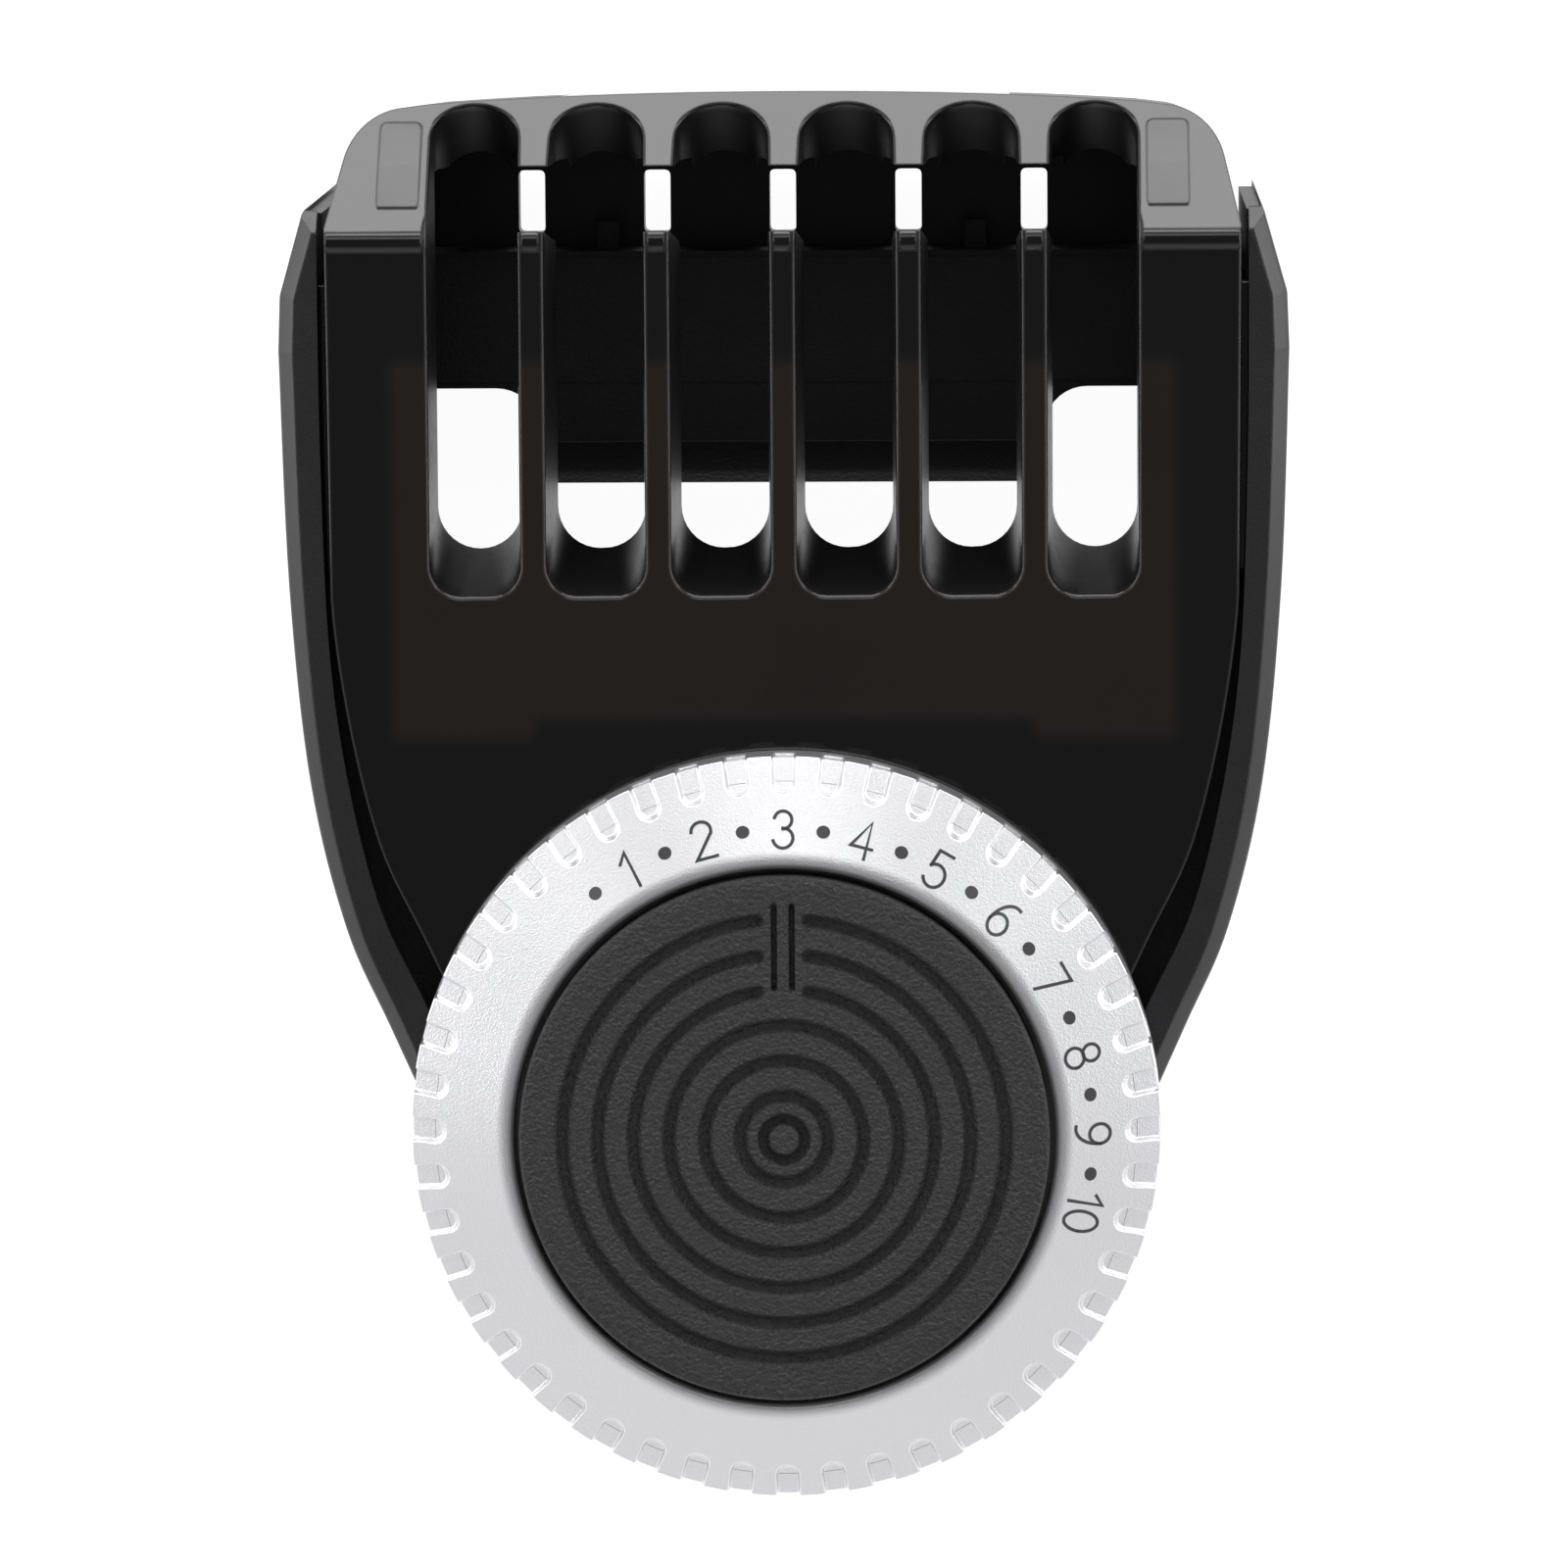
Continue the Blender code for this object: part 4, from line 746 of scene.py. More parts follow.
def notch_depths(s, radius, turn):
    """How deep the U-shaped notches are, for each radius and angle: a flat floor with soft walls inside
    the shape of a slot that ends in a half circle."""
    pitch = TAU / s.notches
    across = radius * ((turn + pitch / 2) % pitch - pitch / 2)
    half, end = 0.49 * MM, RING_R - 1.55 * MM + 0.49 * MM
    outside = np.where(radius > end, np.abs(across), np.hypot(across, radius - end)) - half
    return s.notch_depth * smoothstep(0.5 - outside / (0.15 * MM))


def ring_profile(s):
    """The dial ring's section as (radius, height, share of the notch, share of the scallop): the bore, the
    sloped face, a quarter circle at the rim, the wall, and the skirt's inner side."""
    bore = RING_R - s.face
    rim = FRONT + s.rim_rise
    slope = (RING_TOP - rim) / s.face
    under = CAM_TOP + 0.25 * MM
    skirt = RING_R - s.skirt
    edge = 0.1 * MM
    turn = np.linspace(0, math.pi / 2, 4)
    face_r = np.concatenate([np.linspace(bore + 0.28 * MM, RING_R - 1.8 * MM, 6),
                             np.linspace(RING_R - 1.75 * MM, RING_R - edge, 34)])
    face_z = rim + slope * (RING_R - face_r)
    rows = [(bore, under, 0, 0), (bore, face_z[0] - 0.18 * MM, 0, 0),
            (bore + 0.04 * MM, face_z[0] - 0.08 * MM, 0, 0), (bore + 0.22 * MM, face_z[0] - 0.01 * MM, 0, 0)]
    rows += [(r, z, 1, 0) for r, z in zip(face_r, face_z)]
    rows += [(RING_R - edge + edge * math.sin(a), rim - edge + edge * (1 + slope) * math.cos(a), 1, 0.6)
             for a in turn[1:]]
    wall = np.linspace(rim - edge - 0.05 * MM, RING_LOW + 0.1 * MM, 14)
    rows += [(RING_R, z, float(smoothstep((z - FRONT - 1.5 * MM) / (0.8 * MM))),
              0.6 * float(smoothstep((z - FRONT - 1.0 * MM) / (0.45 * MM)))) for z in wall]
    rows += [(RING_R - 0.1 * MM, RING_LOW, 0, 0), (skirt + 0.1 * MM, RING_LOW, 0, 0),
             (skirt, RING_LOW + 0.1 * MM, 0, 0), (skirt, under, 0, 0)]
    return np.array(rows)


class COMB_OT_dial(bpy.types.Operator):
    """The satin silver dial ring with its rim notches."""
    bl_idname = "comb.dial"
    bl_label = "Dial ring"

    def execute(self, context):
        s = context.scene.dial_sizes
        pitch = TAU / s.notches
        near = np.concatenate([np.linspace(-0.5, -0.32, 3)[:-1], np.linspace(-0.32, -0.10, 12)[:-1],
                               np.linspace(-0.10, 0.10, 6)[:-1], np.linspace(0.10, 0.32, 12)[:-1],
                               np.linspace(0.32, 0.5, 3)[:-1]])
        turn = (np.arange(s.notches)[:, None] * pitch + near[None, :] * pitch).ravel()[:, None]
        r, z, notch, scallop = ring_profile(s).T
        depth = notch_depths(s, r[None, :], turn)
        dent = notch_depths(s, np.full_like(r, RING_R)[None, :], turn)
        radius = r[None, :] - dent * scallop[None, :]
        height = z[None, :] - depth * notch[None, :]
        grid = np.stack([radius * np.cos(turn), radius * np.sin(turn) + AXIS_Y, height], -1)
        ring = piece("dial_face", grid, grid_faces(len(turn), len(r), True, True).tolist())
        finish(ring, "dial", [satin_silver()], ["dial_ring"], weighted=False,
               sharp=math.radians(75))
        return {"FINISHED"}


# Strokes of the digits in a box 1 high: ("arc", x, y, radius x, radius y, from, to) in degrees, and
# ("line", x, y, x, y, ...).
DIGITS = {
    "0": (0.52, [("arc", 0.26, 0.5, 0.26, 0.5, 0, 360)]),
    "1": (0.24, [("line", 0.0, 0.76, 0.22, 1.0, 0.22, 0.0)]),
    "2": (0.50, [("arc", 0.25, 0.75, 0.25, 0.25, 172, -28), ("line", 0.47, 0.633, 0.0, 0.0, 0.52, 0.0)]),
    "3": (0.50, [("arc", 0.25, 0.76, 0.22, 0.24, 165, -90), ("arc", 0.25, 0.27, 0.25, 0.27, 90, -165)]),
    "4": (0.54, [("line", 0.40, 0.0, 0.40, 1.0, 0.0, 0.29, 0.54, 0.29)]),
    "5": (0.50, [("line", 0.46, 1.0, 0.08, 1.0, 0.04, 0.55), ("arc", 0.23, 0.32, 0.27, 0.32, 135, -150)]),
    "6": (0.50, [("arc", 0.25, 0.30, 0.25, 0.30, 0, 360), ("arc", 0.42, 0.30, 0.42, 0.70, 180, 82)]),
    "7": (0.50, [("line", 0.0, 1.0, 0.50, 1.0, 0.16, 0.0)]),
    "8": (0.50, [("arc", 0.25, 0.76, 0.21, 0.24, 0, 360), ("arc", 0.25, 0.27, 0.25, 0.27, 0, 360)]),
    "9": (0.50, [("arc", 0.25, 0.70, 0.25, 0.30, 0, 360), ("arc", 0.08, 0.70, 0.42, 0.70, 0, -98)]),
}


def stroke_points(stroke):
    """A stroke's points: a line's own corners, or centre plus (rx cos a, ry sin a) along an arc."""
    if stroke[0] == "line":
        return np.array(stroke[1:]).reshape(-1, 2)
    _, x, y, rx, ry, start, end = stroke
    turn = np.radians(np.linspace(start, end, 8 + int(abs(end - start) / 12)))
    return np.column_stack([x + rx * np.cos(turn), y + ry * np.sin(turn)])


def ribbon(path, width, thickness):
    """A thin flat bar along a path: each point is moved to both sides along the mitred normal."""
    side = np.diff(path, axis=0)
    side = side / np.linalg.norm(side, axis=1, keepdims=True)
    ahead, back = np.vstack([side, side[-1:]]), np.vstack([side[:1], side])
    path = path.copy()
    path[0] -= side[0] * width / 2
    path[-1] += side[-1] * width / 2
    normal = np.column_stack([-(ahead + back)[:, 1], (ahead + back)[:, 0]])
    normal /= (1 + (ahead * back).sum(1, keepdims=True)).clip(0.35)
    left, right = path + normal * width / 2, path - normal * width / 2
    rings = np.stack([np.column_stack([p, np.full(len(p), h)]) for p, h in
                      ((left, 0.0), (right, 0.0), (right, thickness), (left, thickness))], 1)
    last = 4 * len(path) - 1
    ends = [[0, 1, 2, 3], [last, last - 1, last - 2, last - 3]]
    return rings.reshape(-1, 3), np.vstack([grid_faces(len(path), 4, close_columns=True), ends])


def disc(radius, thickness, segments=32):
    """A flat disc: the middle, the lower rim, the upper rim and the middle again, turned about an axis."""
    rim = circle((0, 0), radius, segments)
    rows = ((0 * rim, 0.0), (rim, 0.0), (rim, thickness), (0 * rim, thickness))
    points = np.stack([np.column_stack([p, np.full(segments, h)]) for p, h in rows], 1)
    return points.reshape(-1, 3), grid_faces(segments, 4, close_rows=True)


def on_face(s, points, clockwise):
    """Printed points laid on the ring's conical face, whose height falls in step with the radius. Local y
    points outward, and the angle counts clockwise from the comb's side."""
    turn = math.pi / 2 - math.radians(clockwise)
    x, y, lift = points.T
    out = np.array([math.cos(turn), math.sin(turn)])
    across = np.array([math.sin(turn), -math.cos(turn)])
    slope = (RING_TOP - FRONT - s.rim_rise) / s.face
    plan = np.outer(s.print_orbit + y * math.cos(math.atan(slope)), out) + np.outer(x, across)
    radius = np.hypot(*plan.T)
    z = FRONT + s.rim_rise + slope * (RING_R - radius) + lift
    return np.column_stack([plan[:, 0], plan[:, 1] + AXIS_Y, z])


class COMB_OT_numbers(bpy.types.Operator):
    """The printed numbers 1 to 10 and the dots between them."""
    bl_idname = "comb.numbers"
    bl_label = "Printed numbers"

    def execute(self, context):
        s = context.scene.dial_sizes
        thin, gap = 0.03 * MM, 0.2
        marks = []
        for number in range(1, 11):
            angle = (number - 3) * 15.0
            widths = [DIGITS[c][0] for c in str(number)]
            left = -(sum(widths) + gap * (len(widths) - 1)) / 2
            for character, width in zip(str(number), widths):
                marks += [(ribbon((stroke_points(stroke) + (left, -0.5)) * s.digit, s.stroke, thin), angle)
                          for stroke in DIGITS[character][1]]
                left += width + gap
            marks.append((disc(0.31 * MM, thin), angle - 7.5))
        sunk = (0, 0, 0.01 * MM)
        points = [on_face(s, p - sunk, angle) for (p, _), angle in marks]
        starts = np.cumsum([0] + [len(p) for p in points])
        faces = [f + start for ((_, f), _), start in zip(marks, starts)]
        numbers = piece("dial_numbers", np.vstack(points), np.vstack(faces).tolist())
        finish(numbers, "dial", [ink()], weighted=False)
        return {"FINISHED"}


# ---------------------------------------------------------------- hub

def hub_depth(s, radius, turn):
    """Depth of the hub's grooves: the full depth within half a width of a groove's line, falling straight
    to nothing over its wall. Three rings run all round, and three stop on each side of the pointer with
    round ends. The pointer's two lines run along Y."""
    first, last = 1.97 * MM, HUB_R - 1.96 * MM
    x, y = radius * np.cos(turn), radius * np.sin(turn)
    depth = np.zeros_like(radius * turn)
    floor, wall = 0.1 * MM, 0.24 * MM
    for i, r in enumerate(np.linspace(first, last, 6)):
        away = np.abs(radius - r)
        if i > 2:
            end = 1.15 * MM
            end_y = math.sqrt(r * r - end * end)
            to_end = np.hypot(np.abs(x) - end, y - end_y)
            away = np.where((np.abs(x) < end) & (y > 0), to_end, away)
        depth = np.maximum(depth, np.clip(1 - (away - floor) / wall, 0, 1))
    low, high = last + 0.6 * MM - 3.7 * MM, last + 0.6 * MM
    off = np.hypot(np.abs(x) - 0.4 * MM, np.maximum(np.maximum(low - y, y - high), 0))
    depth = np.maximum(depth, smoothstep(0.5 - (off - 0.1 * MM) / (0.12 * MM)))
    dimple = smoothstep(0.5 - (np.abs(radius - 0.93 * MM) - 0.2 * MM) / (0.2 * MM))
    return s.groove_depth * np.maximum(depth, 1.1 * dimple)


class COMB_OT_hub(bpy.types.Operator):
    """The still black hub cap with its ring grooves and two-line pointer."""
    bl_idname = "comb.hub"
    bl_label = "Hub cap"

    def execute(self, context):
        s = context.scene.dial_sizes
        side = np.radians(10)
        turn = np.concatenate([np.linspace(0, math.pi / 2 - side, 66)[:-1],
                               np.linspace(math.pi / 2 - side, math.pi / 2 + side, 120)[:-1],
                               np.linspace(math.pi / 2 + side, TAU, 230)[:-1]])[:, None]
        r = np.concatenate([[0.0], np.linspace(0.3 * MM, HUB_R - 0.5 * MM, 158)])
        soft = np.linspace(0, math.pi / 2, 8)[1:]
        edge = 0.25 * MM
        rim_r = np.concatenate([HUB_R - edge + edge * np.sin(soft),
                                [HUB_R, HUB_R - 0.1 * MM, 1.3 * MM, 1.3 * MM, 0.0]])
        bore = HUB_TOP - s.groove_depth - 0.35 * MM
        rim_z = np.concatenate([HUB_TOP - edge + edge * np.cos(soft),
                                [HUB_LOW + 0.1 * MM, HUB_LOW, HUB_LOW, bore, bore]])
        radius = np.concatenate([r, rim_r])[None, :]
        flat = np.concatenate([np.full(len(r), HUB_TOP), rim_z])[None, :]
        on_top = (np.arange(radius.size) < len(r))[None, :]
        height = flat - hub_depth(s, radius, turn) * on_top
        x, y = radius * np.cos(turn), radius * np.sin(turn) + AXIS_Y
        grid = np.stack(np.broadcast_arrays(x, y, height), -1)
        hub = piece("hub_face", grid, grid_faces(len(turn), radius.size, close_rows=True).tolist())
        finish(hub, "frame_body", [hub_grain()], ["hub_cap"], weighted=False,
               sharp=math.radians(80))
        return {"FINISHED"}


# ---------------------------------------------------------------- post and screws

def post_screw_spots():
    """Three points 120 degrees apart on a circle, the first toward the dial's free end."""
    turn = np.radians(-90 + 120 * np.arange(3))
    return np.column_stack([np.cos(turn), np.sin(turn)]) * 4.6 * MM


def screw_profile(head_r, head, shank_r, low, tip):
    """A pan head with a rounded edge and a round recess, and a shank with a chamfered tip."""
    turn = np.linspace(0, math.pi / 2, 6)
    edge = 0.6 * head
    socket = 0.42 * head_r
    rows = [(0.0, low + 0.55 * head), (socket * 0.8, low + 0.55 * head), (socket, low)]
    rows += [(head_r - edge + edge * math.sin(a), low + edge * (1 - math.cos(a))) for a in turn]
    rows += [(head_r, low + head), (shank_r, low + head), (shank_r, tip - 0.3 * shank_r),
             (0.6 * shank_r, tip), (0.0, tip)]
    return rows


class COMB_OT_post(bpy.types.Operator):
    """The fixed bearing post with its screws, seen from behind."""
    bl_idname = "comb.post"
    bl_label = "Post and screws"

    def execute(self, context):
        r, flange_r, bore, edge = POST_R, 6.2 * MM, 1.3 * MM, 0.2 * MM
        top = POST_LOW + 1.2 * MM
        profile = [(bore, POST_LOW), (flange_r - edge, POST_LOW),
                   (flange_r - 0.06 * MM, POST_LOW + 0.06 * MM), (flange_r, POST_LOW + edge), (flange_r, top), (r, top), (r, POST_TOP - edge),
                   (r - edge, POST_TOP), (bore, POST_TOP)]
        post = turned("post", profile)
        holes = [prism(f"flange_hole_{i}", circle(spot, PILOT_R, 24), POST_LOW - CLEAR, top + CLEAR)
                 for i, spot in enumerate(post_screw_spots())]
        carve(post, cut(*holes))
        finish(post, "frame_body", [frame_grain()], ["bearing_post"])
        low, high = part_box("centre_screw")
        screw = turned("hub_screw", screw_profile(1.9 * MM, 0.9 * MM, 1.0 * MM, low.z, high.z), segments=64)
        finish(screw, "frame_body", [bright_steel()], ["centre_screw"])
        for i, spot in enumerate(post_screw_spots(), 1):
            low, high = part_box(f"post_screw_{i}")
            screw = turned(f"flange_screw_{i}", screw_profile(1.1 * MM, 0.5 * MM, 0.5 * MM, low.z, high.z),
                           spot, 48)
            finish(screw, "frame_body", [bright_steel()], [f"post_screw_{i}"])
        return {"FINISHED"}


class COMB_OT_works(bpy.types.Operator):
    """Finishes for the solids that keep their shape: cam disc, leaf, washer, pin and small screws."""
    bl_idname = "comb.works"
    bl_label = "Works under the dial"

    def execute(self, context):
        white, steel = acetal(), bright_steel()
        for name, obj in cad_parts.items():
            if obj.hide_render:
                continue
            obj.data.materials.clear()
            obj.data.materials.append(white if name == "cam_disc" else steel)
        return {"FINISHED"}


# ---------------------------------------------------------------- materials

def new_group(name, inputs, outputs):
    """An empty shader group with float inputs {name: default} and outputs [name]."""
    group = bpy.data.node_groups.new(name, "ShaderNodeTree")
    for socket, default in inputs.items():
        made = group.interface.new_socket(name=socket, in_out="INPUT", socket_type="NodeSocketFloat")
        made.default_value = default
    for socket in outputs:
        group.interface.new_socket(name=socket, in_out="OUTPUT", socket_type="NodeSocketFloat")
    return group, group.nodes.new("NodeGroupInput"), group.nodes.new("NodeGroupOutput")


def math_node(tree, operation, a, b=None, c=None, clamp=False):
    """A Math node, with each operand a socket or a number."""
    node = tree.nodes.new("ShaderNodeMath")
    node.operation = operation
    node.use_clamp = clamp
    for socket, value in zip(node.inputs, (a, b, c)):
        if isinstance(value, bpy.types.NodeSocket):
            tree.links.new(value, socket)
        elif value is not None:
            socket.default_value = value
    return node.outputs[0]


def noise(tree, place, scale, detail=2.0, rough=0.5):
    """Noise on Object coordinates, with the scale as a socket or a number of cells to a metre."""
    node = tree.nodes.new("ShaderNodeTexNoise")
    tree.links.new(place, node.inputs["Vector"])
    if isinstance(scale, bpy.types.NodeSocket):
        tree.links.new(scale, node.inputs["Scale"])
    else:
        node.inputs["Scale"].default_value = scale
    node.inputs["Detail"].default_value = detail
    node.inputs["Roughness"].default_value = rough
    return node.outputs["Fac"]


def spark_grain():
    """Spark-eroded grain: rounded pits of two sizes. Height is for a bump, Pits is 1 in the pits."""
    found = bpy.data.node_groups.get("Spark grain")
    if found:
        return found
    group, inside, outside = new_group("Spark grain", {"Cells": 5000.0, "Mix": 0.5}, ["Height", "Pits"])
    place = group.nodes.new("ShaderNodeTexCoord").outputs["Object"]
    cells = group.nodes.new("ShaderNodeTexVoronoi")
    cells.feature = "SMOOTH_F1"
    cells.inputs["Smoothness"].default_value = 0.6
    group.links.new(place, cells.inputs["Vector"])
    group.links.new(inside.outputs["Cells"], cells.inputs["Scale"])
    fine = noise(group, place, math_node(group, "MULTIPLY", inside.outputs["Cells"], 1.7), 3.0, 0.6)
    pits = math_node(group, "MULTIPLY", cells.outputs["Distance"], 1.6, clamp=True)
    keep = math_node(group, "SUBTRACT", 1.0, inside.outputs["Mix"])
    height = math_node(group, "ADD", math_node(group, "MULTIPLY", pits, keep),
                       math_node(group, "MULTIPLY", fine, inside.outputs["Mix"]))
    group.links.new(height, outside.inputs["Height"])
    group.links.new(pits, outside.inputs["Pits"])
    return group


def handling():
    """Slow unevenness of gloss and tone, as on a moulding that has been handled: Tone is about 0.5."""
    found = bpy.data.node_groups.get("Handling")
    if found:
        return found
    group, inside, outside = new_group("Handling", {"Cells": 120.0}, ["Tone", "Smear"])
    place = group.nodes.new("ShaderNodeTexCoord").outputs["Object"]
    tone = noise(group, place, inside.outputs["Cells"], 3.0, 0.55)
    smear = noise(group, place, math_node(group, "MULTIPLY", inside.outputs["Cells"], 6.0), 4.0, 0.6)
    group.links.new(tone, outside.inputs["Tone"])
    group.links.new(smear, outside.inputs["Smear"])
    return group


def group_node(tree, group, **values):
    """A group placed in a material, with its own values."""
    node = tree.nodes.new("ShaderNodeGroup")
    node.node_tree = group
    for name, value in values.items():
        node.inputs[name].default_value = value
    return node


def new_material(name, **values):
    """A material with its Principled shader's own sockets set, as (material, tree, shader)."""
    material = bpy.data.materials.new(name)
    material.use_nodes = True
    shader = material.node_tree.nodes["Principled BSDF"]
    for socket, value in values.items():
        shader.inputs[socket.replace("_", " ")].default_value = value
    return material, material.node_tree, shader


def between(tree, factor, low, high):
    """A value that goes from low to high as the factor goes from 0 to 1."""
    node = tree.nodes.new("ShaderNodeMapRange")
    tree.links.new(factor, node.inputs["Value"])
    node.inputs["To Min"].default_value = low
    node.inputs["To Max"].default_value = high
    return node.outputs["Result"]


def two_colours(tree, factor, first, second):
    """A colour that goes from the first to the second as the factor goes from 0 to 1."""
    node = tree.nodes.new("ShaderNodeMix")
    node.data_type = "RGBA"
    tree.links.new(factor, node.inputs["Factor"])
    node.inputs["A"].default_value = (*first, 1.0)
    node.inputs["B"].default_value = (*second, 1.0)
    return node.outputs["Result"]


def bump(tree, shader, height, distance, strength=1.0, edge=0.0):
    """Feeds the shader's normal from a height, on edges softened by a small radius."""
    node = tree.nodes.new("ShaderNodeBump")
    node.inputs["Strength"].default_value = strength
    node.inputs["Distance"].default_value = distance
    tree.links.new(height, node.inputs["Height"])
    if edge:
        soft = tree.nodes.new("ShaderNodeBevel")
        soft.samples = 4
        soft.inputs["Radius"].default_value = edge
        tree.links.new(soft.outputs["Normal"], node.inputs["Normal"])
    tree.links.new(node.outputs["Normal"], shader.inputs["Normal"])


def finished(name, tint, cells, tones, gloss, relief=None, grain=None, painted_pit_shade=False, **values):
    """The material of that name, made the first time it is asked for. Its tint runs between two tones over
    the handling, or, as painted shade, over the grain's pits, and its roughness between two values. Relief is
    a bump of (distance, strength, edge) on the grain of (cells, mix), or on the handling's smear without one."""
    if name in bpy.data.materials:
        return bpy.data.materials[name]
    material, tree, shader = new_material(name, **values)
    wear = group_node(tree, handling(), Cells=cells)
    tone, height = wear.outputs["Tone"], wear.outputs["Smear"]
    if grain:
        spark = group_node(tree, spark_grain(), Cells=grain[0], Mix=grain[1])
        height = spark.outputs["Height"]
        # Painted shade: with this choice the grain's pits are darkened in the colour.
        tone = spark.outputs["Pits"] if painted_pit_shade else tone
    base = getattr(bpy.context.scene.finishes, tint)
    shades = [[strength * c for c in base] for strength in tones]
    tree.links.new(two_colours(tree, tone, *shades), shader.inputs["Base Color"])
    tree.links.new(between(tree, wear.outputs["Smear"], *gloss), shader.inputs["Roughness"])
    if relief:
        bump(tree, shader, height, *relief)
    return material


def frame_grain():
    """Matte black with a fine spark-eroded grain."""
    return finished("frame_grain", "black", 150.0, (0.8, 1.25), (0.40, 0.56), (0.05 * MM, 0.55, 0.08 * MM),
                    (6500.0, 0.45))


def rim_satin():
    """The smoother black of the frame's chamfered rim."""
    return finished("rim_satin", "black", 300.0, (1.0, 1.3), (0.24, 0.36), (0.01 * MM, 0.3, 0.08 * MM))


def smoke_inner():
    """The comb's duller faces inside the slots."""
    return finished("smoke_inner", "smoke", 260.0, (1.0, 1.8), (0.3, 0.46), (0.02 * MM, 0.2, 0.08 * MM),
                    IOR=1.45)


def satin_silver():
    """The dial's satin metal look."""
    return finished("satin_silver", "silver", 220.0, (0.96, 1.0), (0.26, 0.34), (0.035 * MM, 0.5),
                    (8000.0, 0.8), Metallic=0.86)


def hub_grain():
    """The hub cap's coarse black grain, with painted shade that darkens its pits."""
    return finished("hub_grain", "hub", 180.0, (0.75, 1.3), (0.26, 0.42), (0.26 * MM, 1.0), (3600.0, 0.8),
                    painted_pit_shade=True)


def ink():
    """The glossy dark print."""
    return finished("ink", "ink", 900.0, (0.8, 1.4), (0.14, 0.26))


def acetal():
    """Natural white plastic that lets a little light in."""
    return finished("acetal", "acetal", 200.0, (0.92, 1.0), (0.3, 0.45), (0.02 * MM, 0.2),
                    Subsurface_Weight=0.15, Subsurface_Scale=0.5 * MM)


def bright_steel():
    """Bright drawn steel."""
    return finished("bright_steel", "steel", 500.0, (0.85, 1.0), (0.2, 0.36), (0.01 * MM, 0.3), Metallic=1.0)


def box_mask(tree, low, high, soft):
    """1 inside a box in plan and 0 outside, with a soft edge, on Object coordinates in metres."""
    place = tree.nodes.new("ShaderNodeTexCoord").outputs["Object"]
    split = tree.nodes.new("ShaderNodeSeparateXYZ")
    tree.links.new(place, split.inputs[0])
    masks = []
    for axis, a, b in ((0, low[0], high[0]), (1, low[1], high[1])):
        middle, half = (a + b) / 2, (b - a) / 2
        off = math_node(tree, "ABSOLUTE", math_node(tree, "SUBTRACT", split.outputs[axis], middle))
        masks.append(math_node(tree, "DIVIDE", math_node(tree, "SUBTRACT", half, off), soft, clamp=True))
    return math_node(tree, "MULTIPLY", *masks)


def smoke_gloss():
    """Polished dark smoke, with painted backlight: its colour is warmer where the window behind the plate
    would let light through.
    """
    look = bpy.context.scene.finishes
    material, tree, shader = new_material("smoke_gloss", IOR=1.5)
    wear = group_node(tree, handling(), Cells=90.0)
    # Painted backlight: a plan box over the base plate's window turns the colour to the warmer smoke, varied
    # by the handling tone.
    wide = box_mask(tree, (-18.1 * MM, 17.1 * MM + AXIS_Y), (18.1 * MM, 35 * MM + AXIS_Y), 0.7 * MM)
    step = box_mask(tree, (-11.6 * MM, 15 * MM + AXIS_Y), (11.6 * MM, 18.6 * MM + AXIS_Y), 0.6 * MM)
    lit = math_node(tree, "SUBTRACT", wide, step, clamp=True)
    painted_backlight_share = math_node(tree, "MULTIPLY", lit, between(tree, wear.outputs["Tone"], 0.6, 1.3), clamp=True)
    tree.links.new(two_colours(tree, painted_backlight_share, look.smoke, look.smoke_warm), shader.inputs["Base Color"])
    low, high = look.smoke_gloss * 0.7, look.smoke_gloss * 1.5
    tree.links.new(between(tree, wear.outputs["Smear"], low, high), shader.inputs["Roughness"])
    bump(tree, shader, wear.outputs["Tone"], 0.05 * MM, 0.05, 0.12 * MM)
    return material


# ---------------------------------------------------------------- stage

def make_camera():
    """A long lens 400 mm from the comb's front face, a little above it and nearly square to it."""
    yaw, tilt, roll = math.radians(1.63), math.radians(7.53), math.radians(-0.38)
    back = Vector((math.sin(yaw), math.sin(tilt), 0))
    back.z = math.sqrt(1 - back.length_squared)
    right = Vector((0, 1, 0)).cross(back).normalized()
    up = back.cross(right)
    c, s = math.cos(roll), math.sin(roll)
    right, up = c * right + s * up, c * up - s * right
    data = bpy.data.cameras.new("camera")
    data.lens, data.sensor_width, data.clip_start = 202.5, 36, 0.01
    camera = bpy.data.objects.new("camera", data)
    bpy.context.scene.collection.objects.link(camera)
    place = Matrix((right, up, back)).transposed().to_4x4()
    place.translation = Vector((-0.06 * MM, 15.39 * MM + AXIS_Y, FRONT)) + 400 * MM * back
    camera.matrix_world = place
    bpy.context.scene.camera = camera


def soft_box(name, place, target, size, radiance):
    """A rectangular light with the same radiance all over: power is radiance times pi times area."""
    data = bpy.data.lights.new(name, "AREA")
    data.shape = "RECTANGLE"
    data.size, data.size_y = size
    data.energy = radiance * math.pi * size[0] * size[1]
    light = bpy.data.objects.new(name, data)
    bpy.context.scene.collection.objects.link(light)
    way = Vector(target) - Vector(place)
    light.matrix_world = Matrix.Translation(place) @ way.to_track_quat("-Z", "Y").to_matrix().to_4x4()


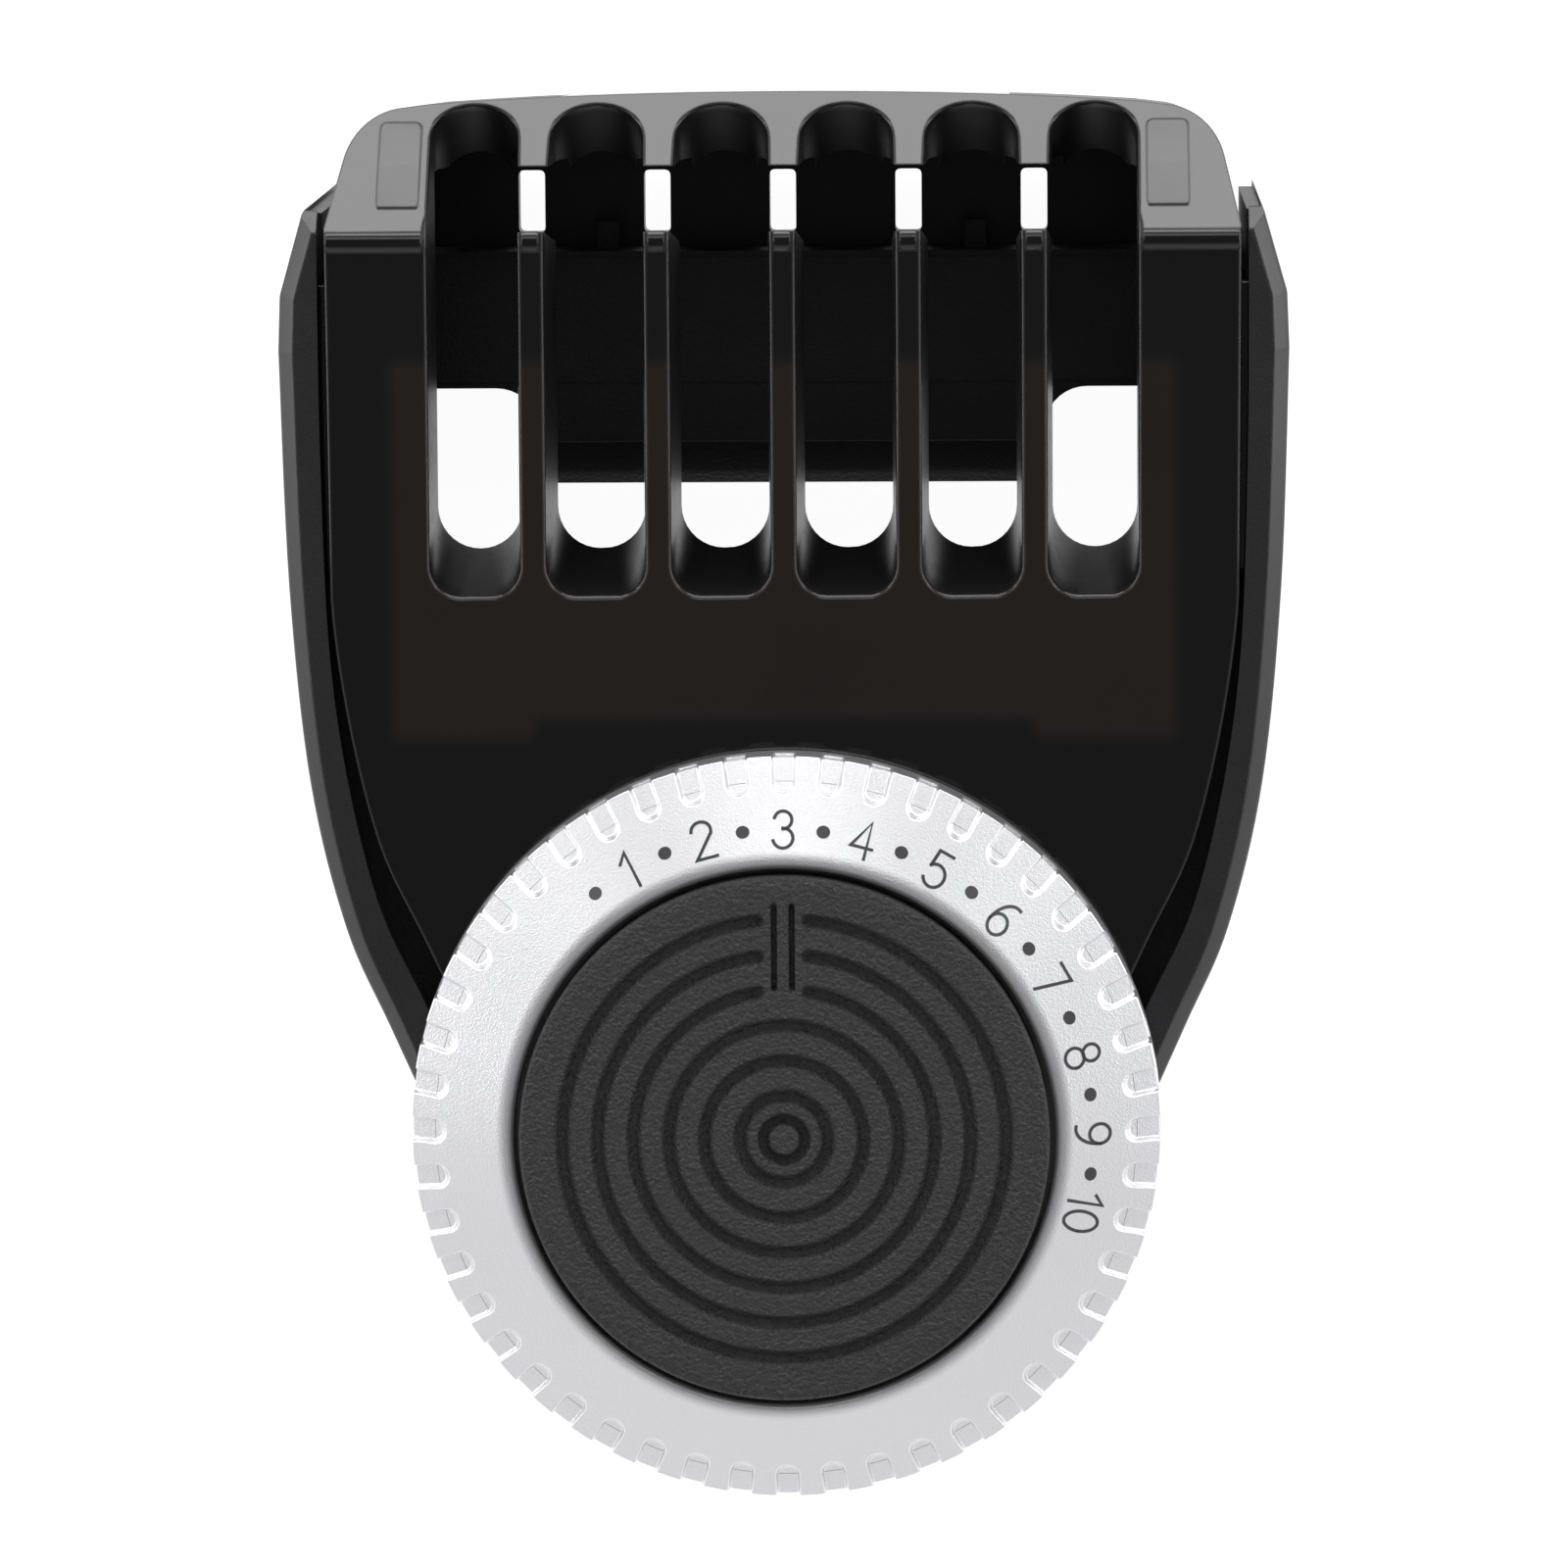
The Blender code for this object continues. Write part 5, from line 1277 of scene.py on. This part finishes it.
def make_world(studio):
    """A tent that is bright all round at the horizon and dim overhead."""
    world = bpy.data.worlds.new("tent")
    bpy.context.scene.world = world
    world.use_nodes = True
    tree = world.node_tree
    place = tree.nodes.new("ShaderNodeTexCoord").outputs["Generated"]
    split = tree.nodes.new("ShaderNodeSeparateXYZ")
    tree.links.new(place, split.inputs[0])
    ramp = tree.nodes.new("ShaderNodeMapRange")
    ramp.interpolation_type = "SMOOTHSTEP"
    tree.links.new(split.outputs[2], ramp.inputs["Value"])
    ramp.inputs["From Min"].default_value = 0.45
    ramp.inputs["From Max"].default_value = 0.9
    ramp.inputs["To Min"].default_value = studio.sky_low
    ramp.inputs["To Max"].default_value = studio.sky_high
    background = tree.nodes["Background"]
    background.inputs["Color"].default_value = (1.0, 1.0, 1.0, 1.0)
    tree.links.new(ramp.outputs["Result"], background.inputs["Strength"])


def make_floor(studio):
    """A pale light table under the object."""
    size = 3.0
    z = -0.02 * MM
    floor = piece("floor", [(-size, -size, z), (size, -size, z), (size, size, z), (-size, size, z)],
                  [[0, 1, 2, 3]])
    material = bpy.data.materials.new("floor")
    material.use_nodes = True
    shader = material.node_tree.nodes["Principled BSDF"]
    shader.inputs["Base Color"].default_value = (0.35, 0.35, 0.35, 1.0)
    shader.inputs["Roughness"].default_value = 0.9
    shader.inputs["Emission Color"].default_value = (1.0, 1.0, 1.0, 1.0)
    shader.inputs["Emission Strength"].default_value = studio.floor_glow
    floor.data.materials.append(material)


class COMB_OT_stage(bpy.types.Operator):
    """The camera, the lights and the pale floor."""
    bl_idname = "comb.stage"
    bl_label = "Stage"

    def execute(self, context):
        studio = context.scene.studio
        context.scene.view_settings.view_transform = "Standard"
        make_camera()
        make_world(studio)
        make_floor(studio)
        boxes = [("box_top", (0, 0.62, 0.09), (0.7, 0.16), studio.top_box),
                 ("box_high", (0, 0.45, 0.5), (0.3, 0.1), studio.high_box)]
        for side, x in (("left", -1), ("right", 1)):
            boxes += [(f"box_low_{side}", (0.55 * x, 0.18, 0.075), (0.5, 0.13), studio.low_box),
                      (f"box_{side}", (0.42 * x, 0.36, 0.34), (0.15, 0.15), studio.side_box)]
        for name, place, size, shine in boxes:
            soft_box(name, place, (0, 0, 10 * MM), size, shine)
        return {"FINISHED"}


# ---------------------------------------------------------------- add-on

class COMB_PT_panel(bpy.types.Panel):
    """Lists the pieces and the values that shape them."""
    bl_idname = "COMB_PT_panel"
    bl_label = "Comb attachment"
    bl_space_type = "VIEW_3D"
    bl_region_type = "UI"
    bl_category = "Comb"

    def draw(self, context):
        for operator in PIECES:
            self.layout.operator(operator.bl_idname)
        for name in GROUPS:
            group = getattr(context.scene, name)
            column = self.layout.column(align=True)
            for value in group.__annotations__:
                column.prop(group, value)


GROUPS = {"comb_sizes": CombSizes, "frame_sizes": FrameSizes, "dial_sizes": DialSizes,
          "finishes": Finishes, "studio": Studio}
PIECES = (COMB_OT_stage, COMB_OT_hood, COMB_OT_frame, COMB_OT_dial, COMB_OT_numbers, COMB_OT_hub,
          COMB_OT_post, COMB_OT_works)


def register():
    """Registers the classes and puts each group of values on the scene."""
    for made in (*GROUPS.values(), *PIECES, COMB_PT_panel):
        bpy.utils.register_class(made)
    for name, group in GROUPS.items():
        setattr(bpy.types.Scene, name, bpy.props.PointerProperty(type=group))


def unregister():
    """Undoes register."""
    for name in GROUPS:
        delattr(bpy.types.Scene, name)
    for made in reversed((*GROUPS.values(), *PIECES, COMB_PT_panel)):
        bpy.utils.unregister_class(made)


def main():
    """Makes the stage and every piece."""
    register()
    bpy.ops.comb.stage()
    bpy.ops.comb.hood()
    bpy.ops.comb.frame()
    bpy.ops.comb.dial()
    bpy.ops.comb.numbers()
    bpy.ops.comb.hub()
    bpy.ops.comb.post()
    bpy.ops.comb.works()


if __name__ == "__main__":
    main()
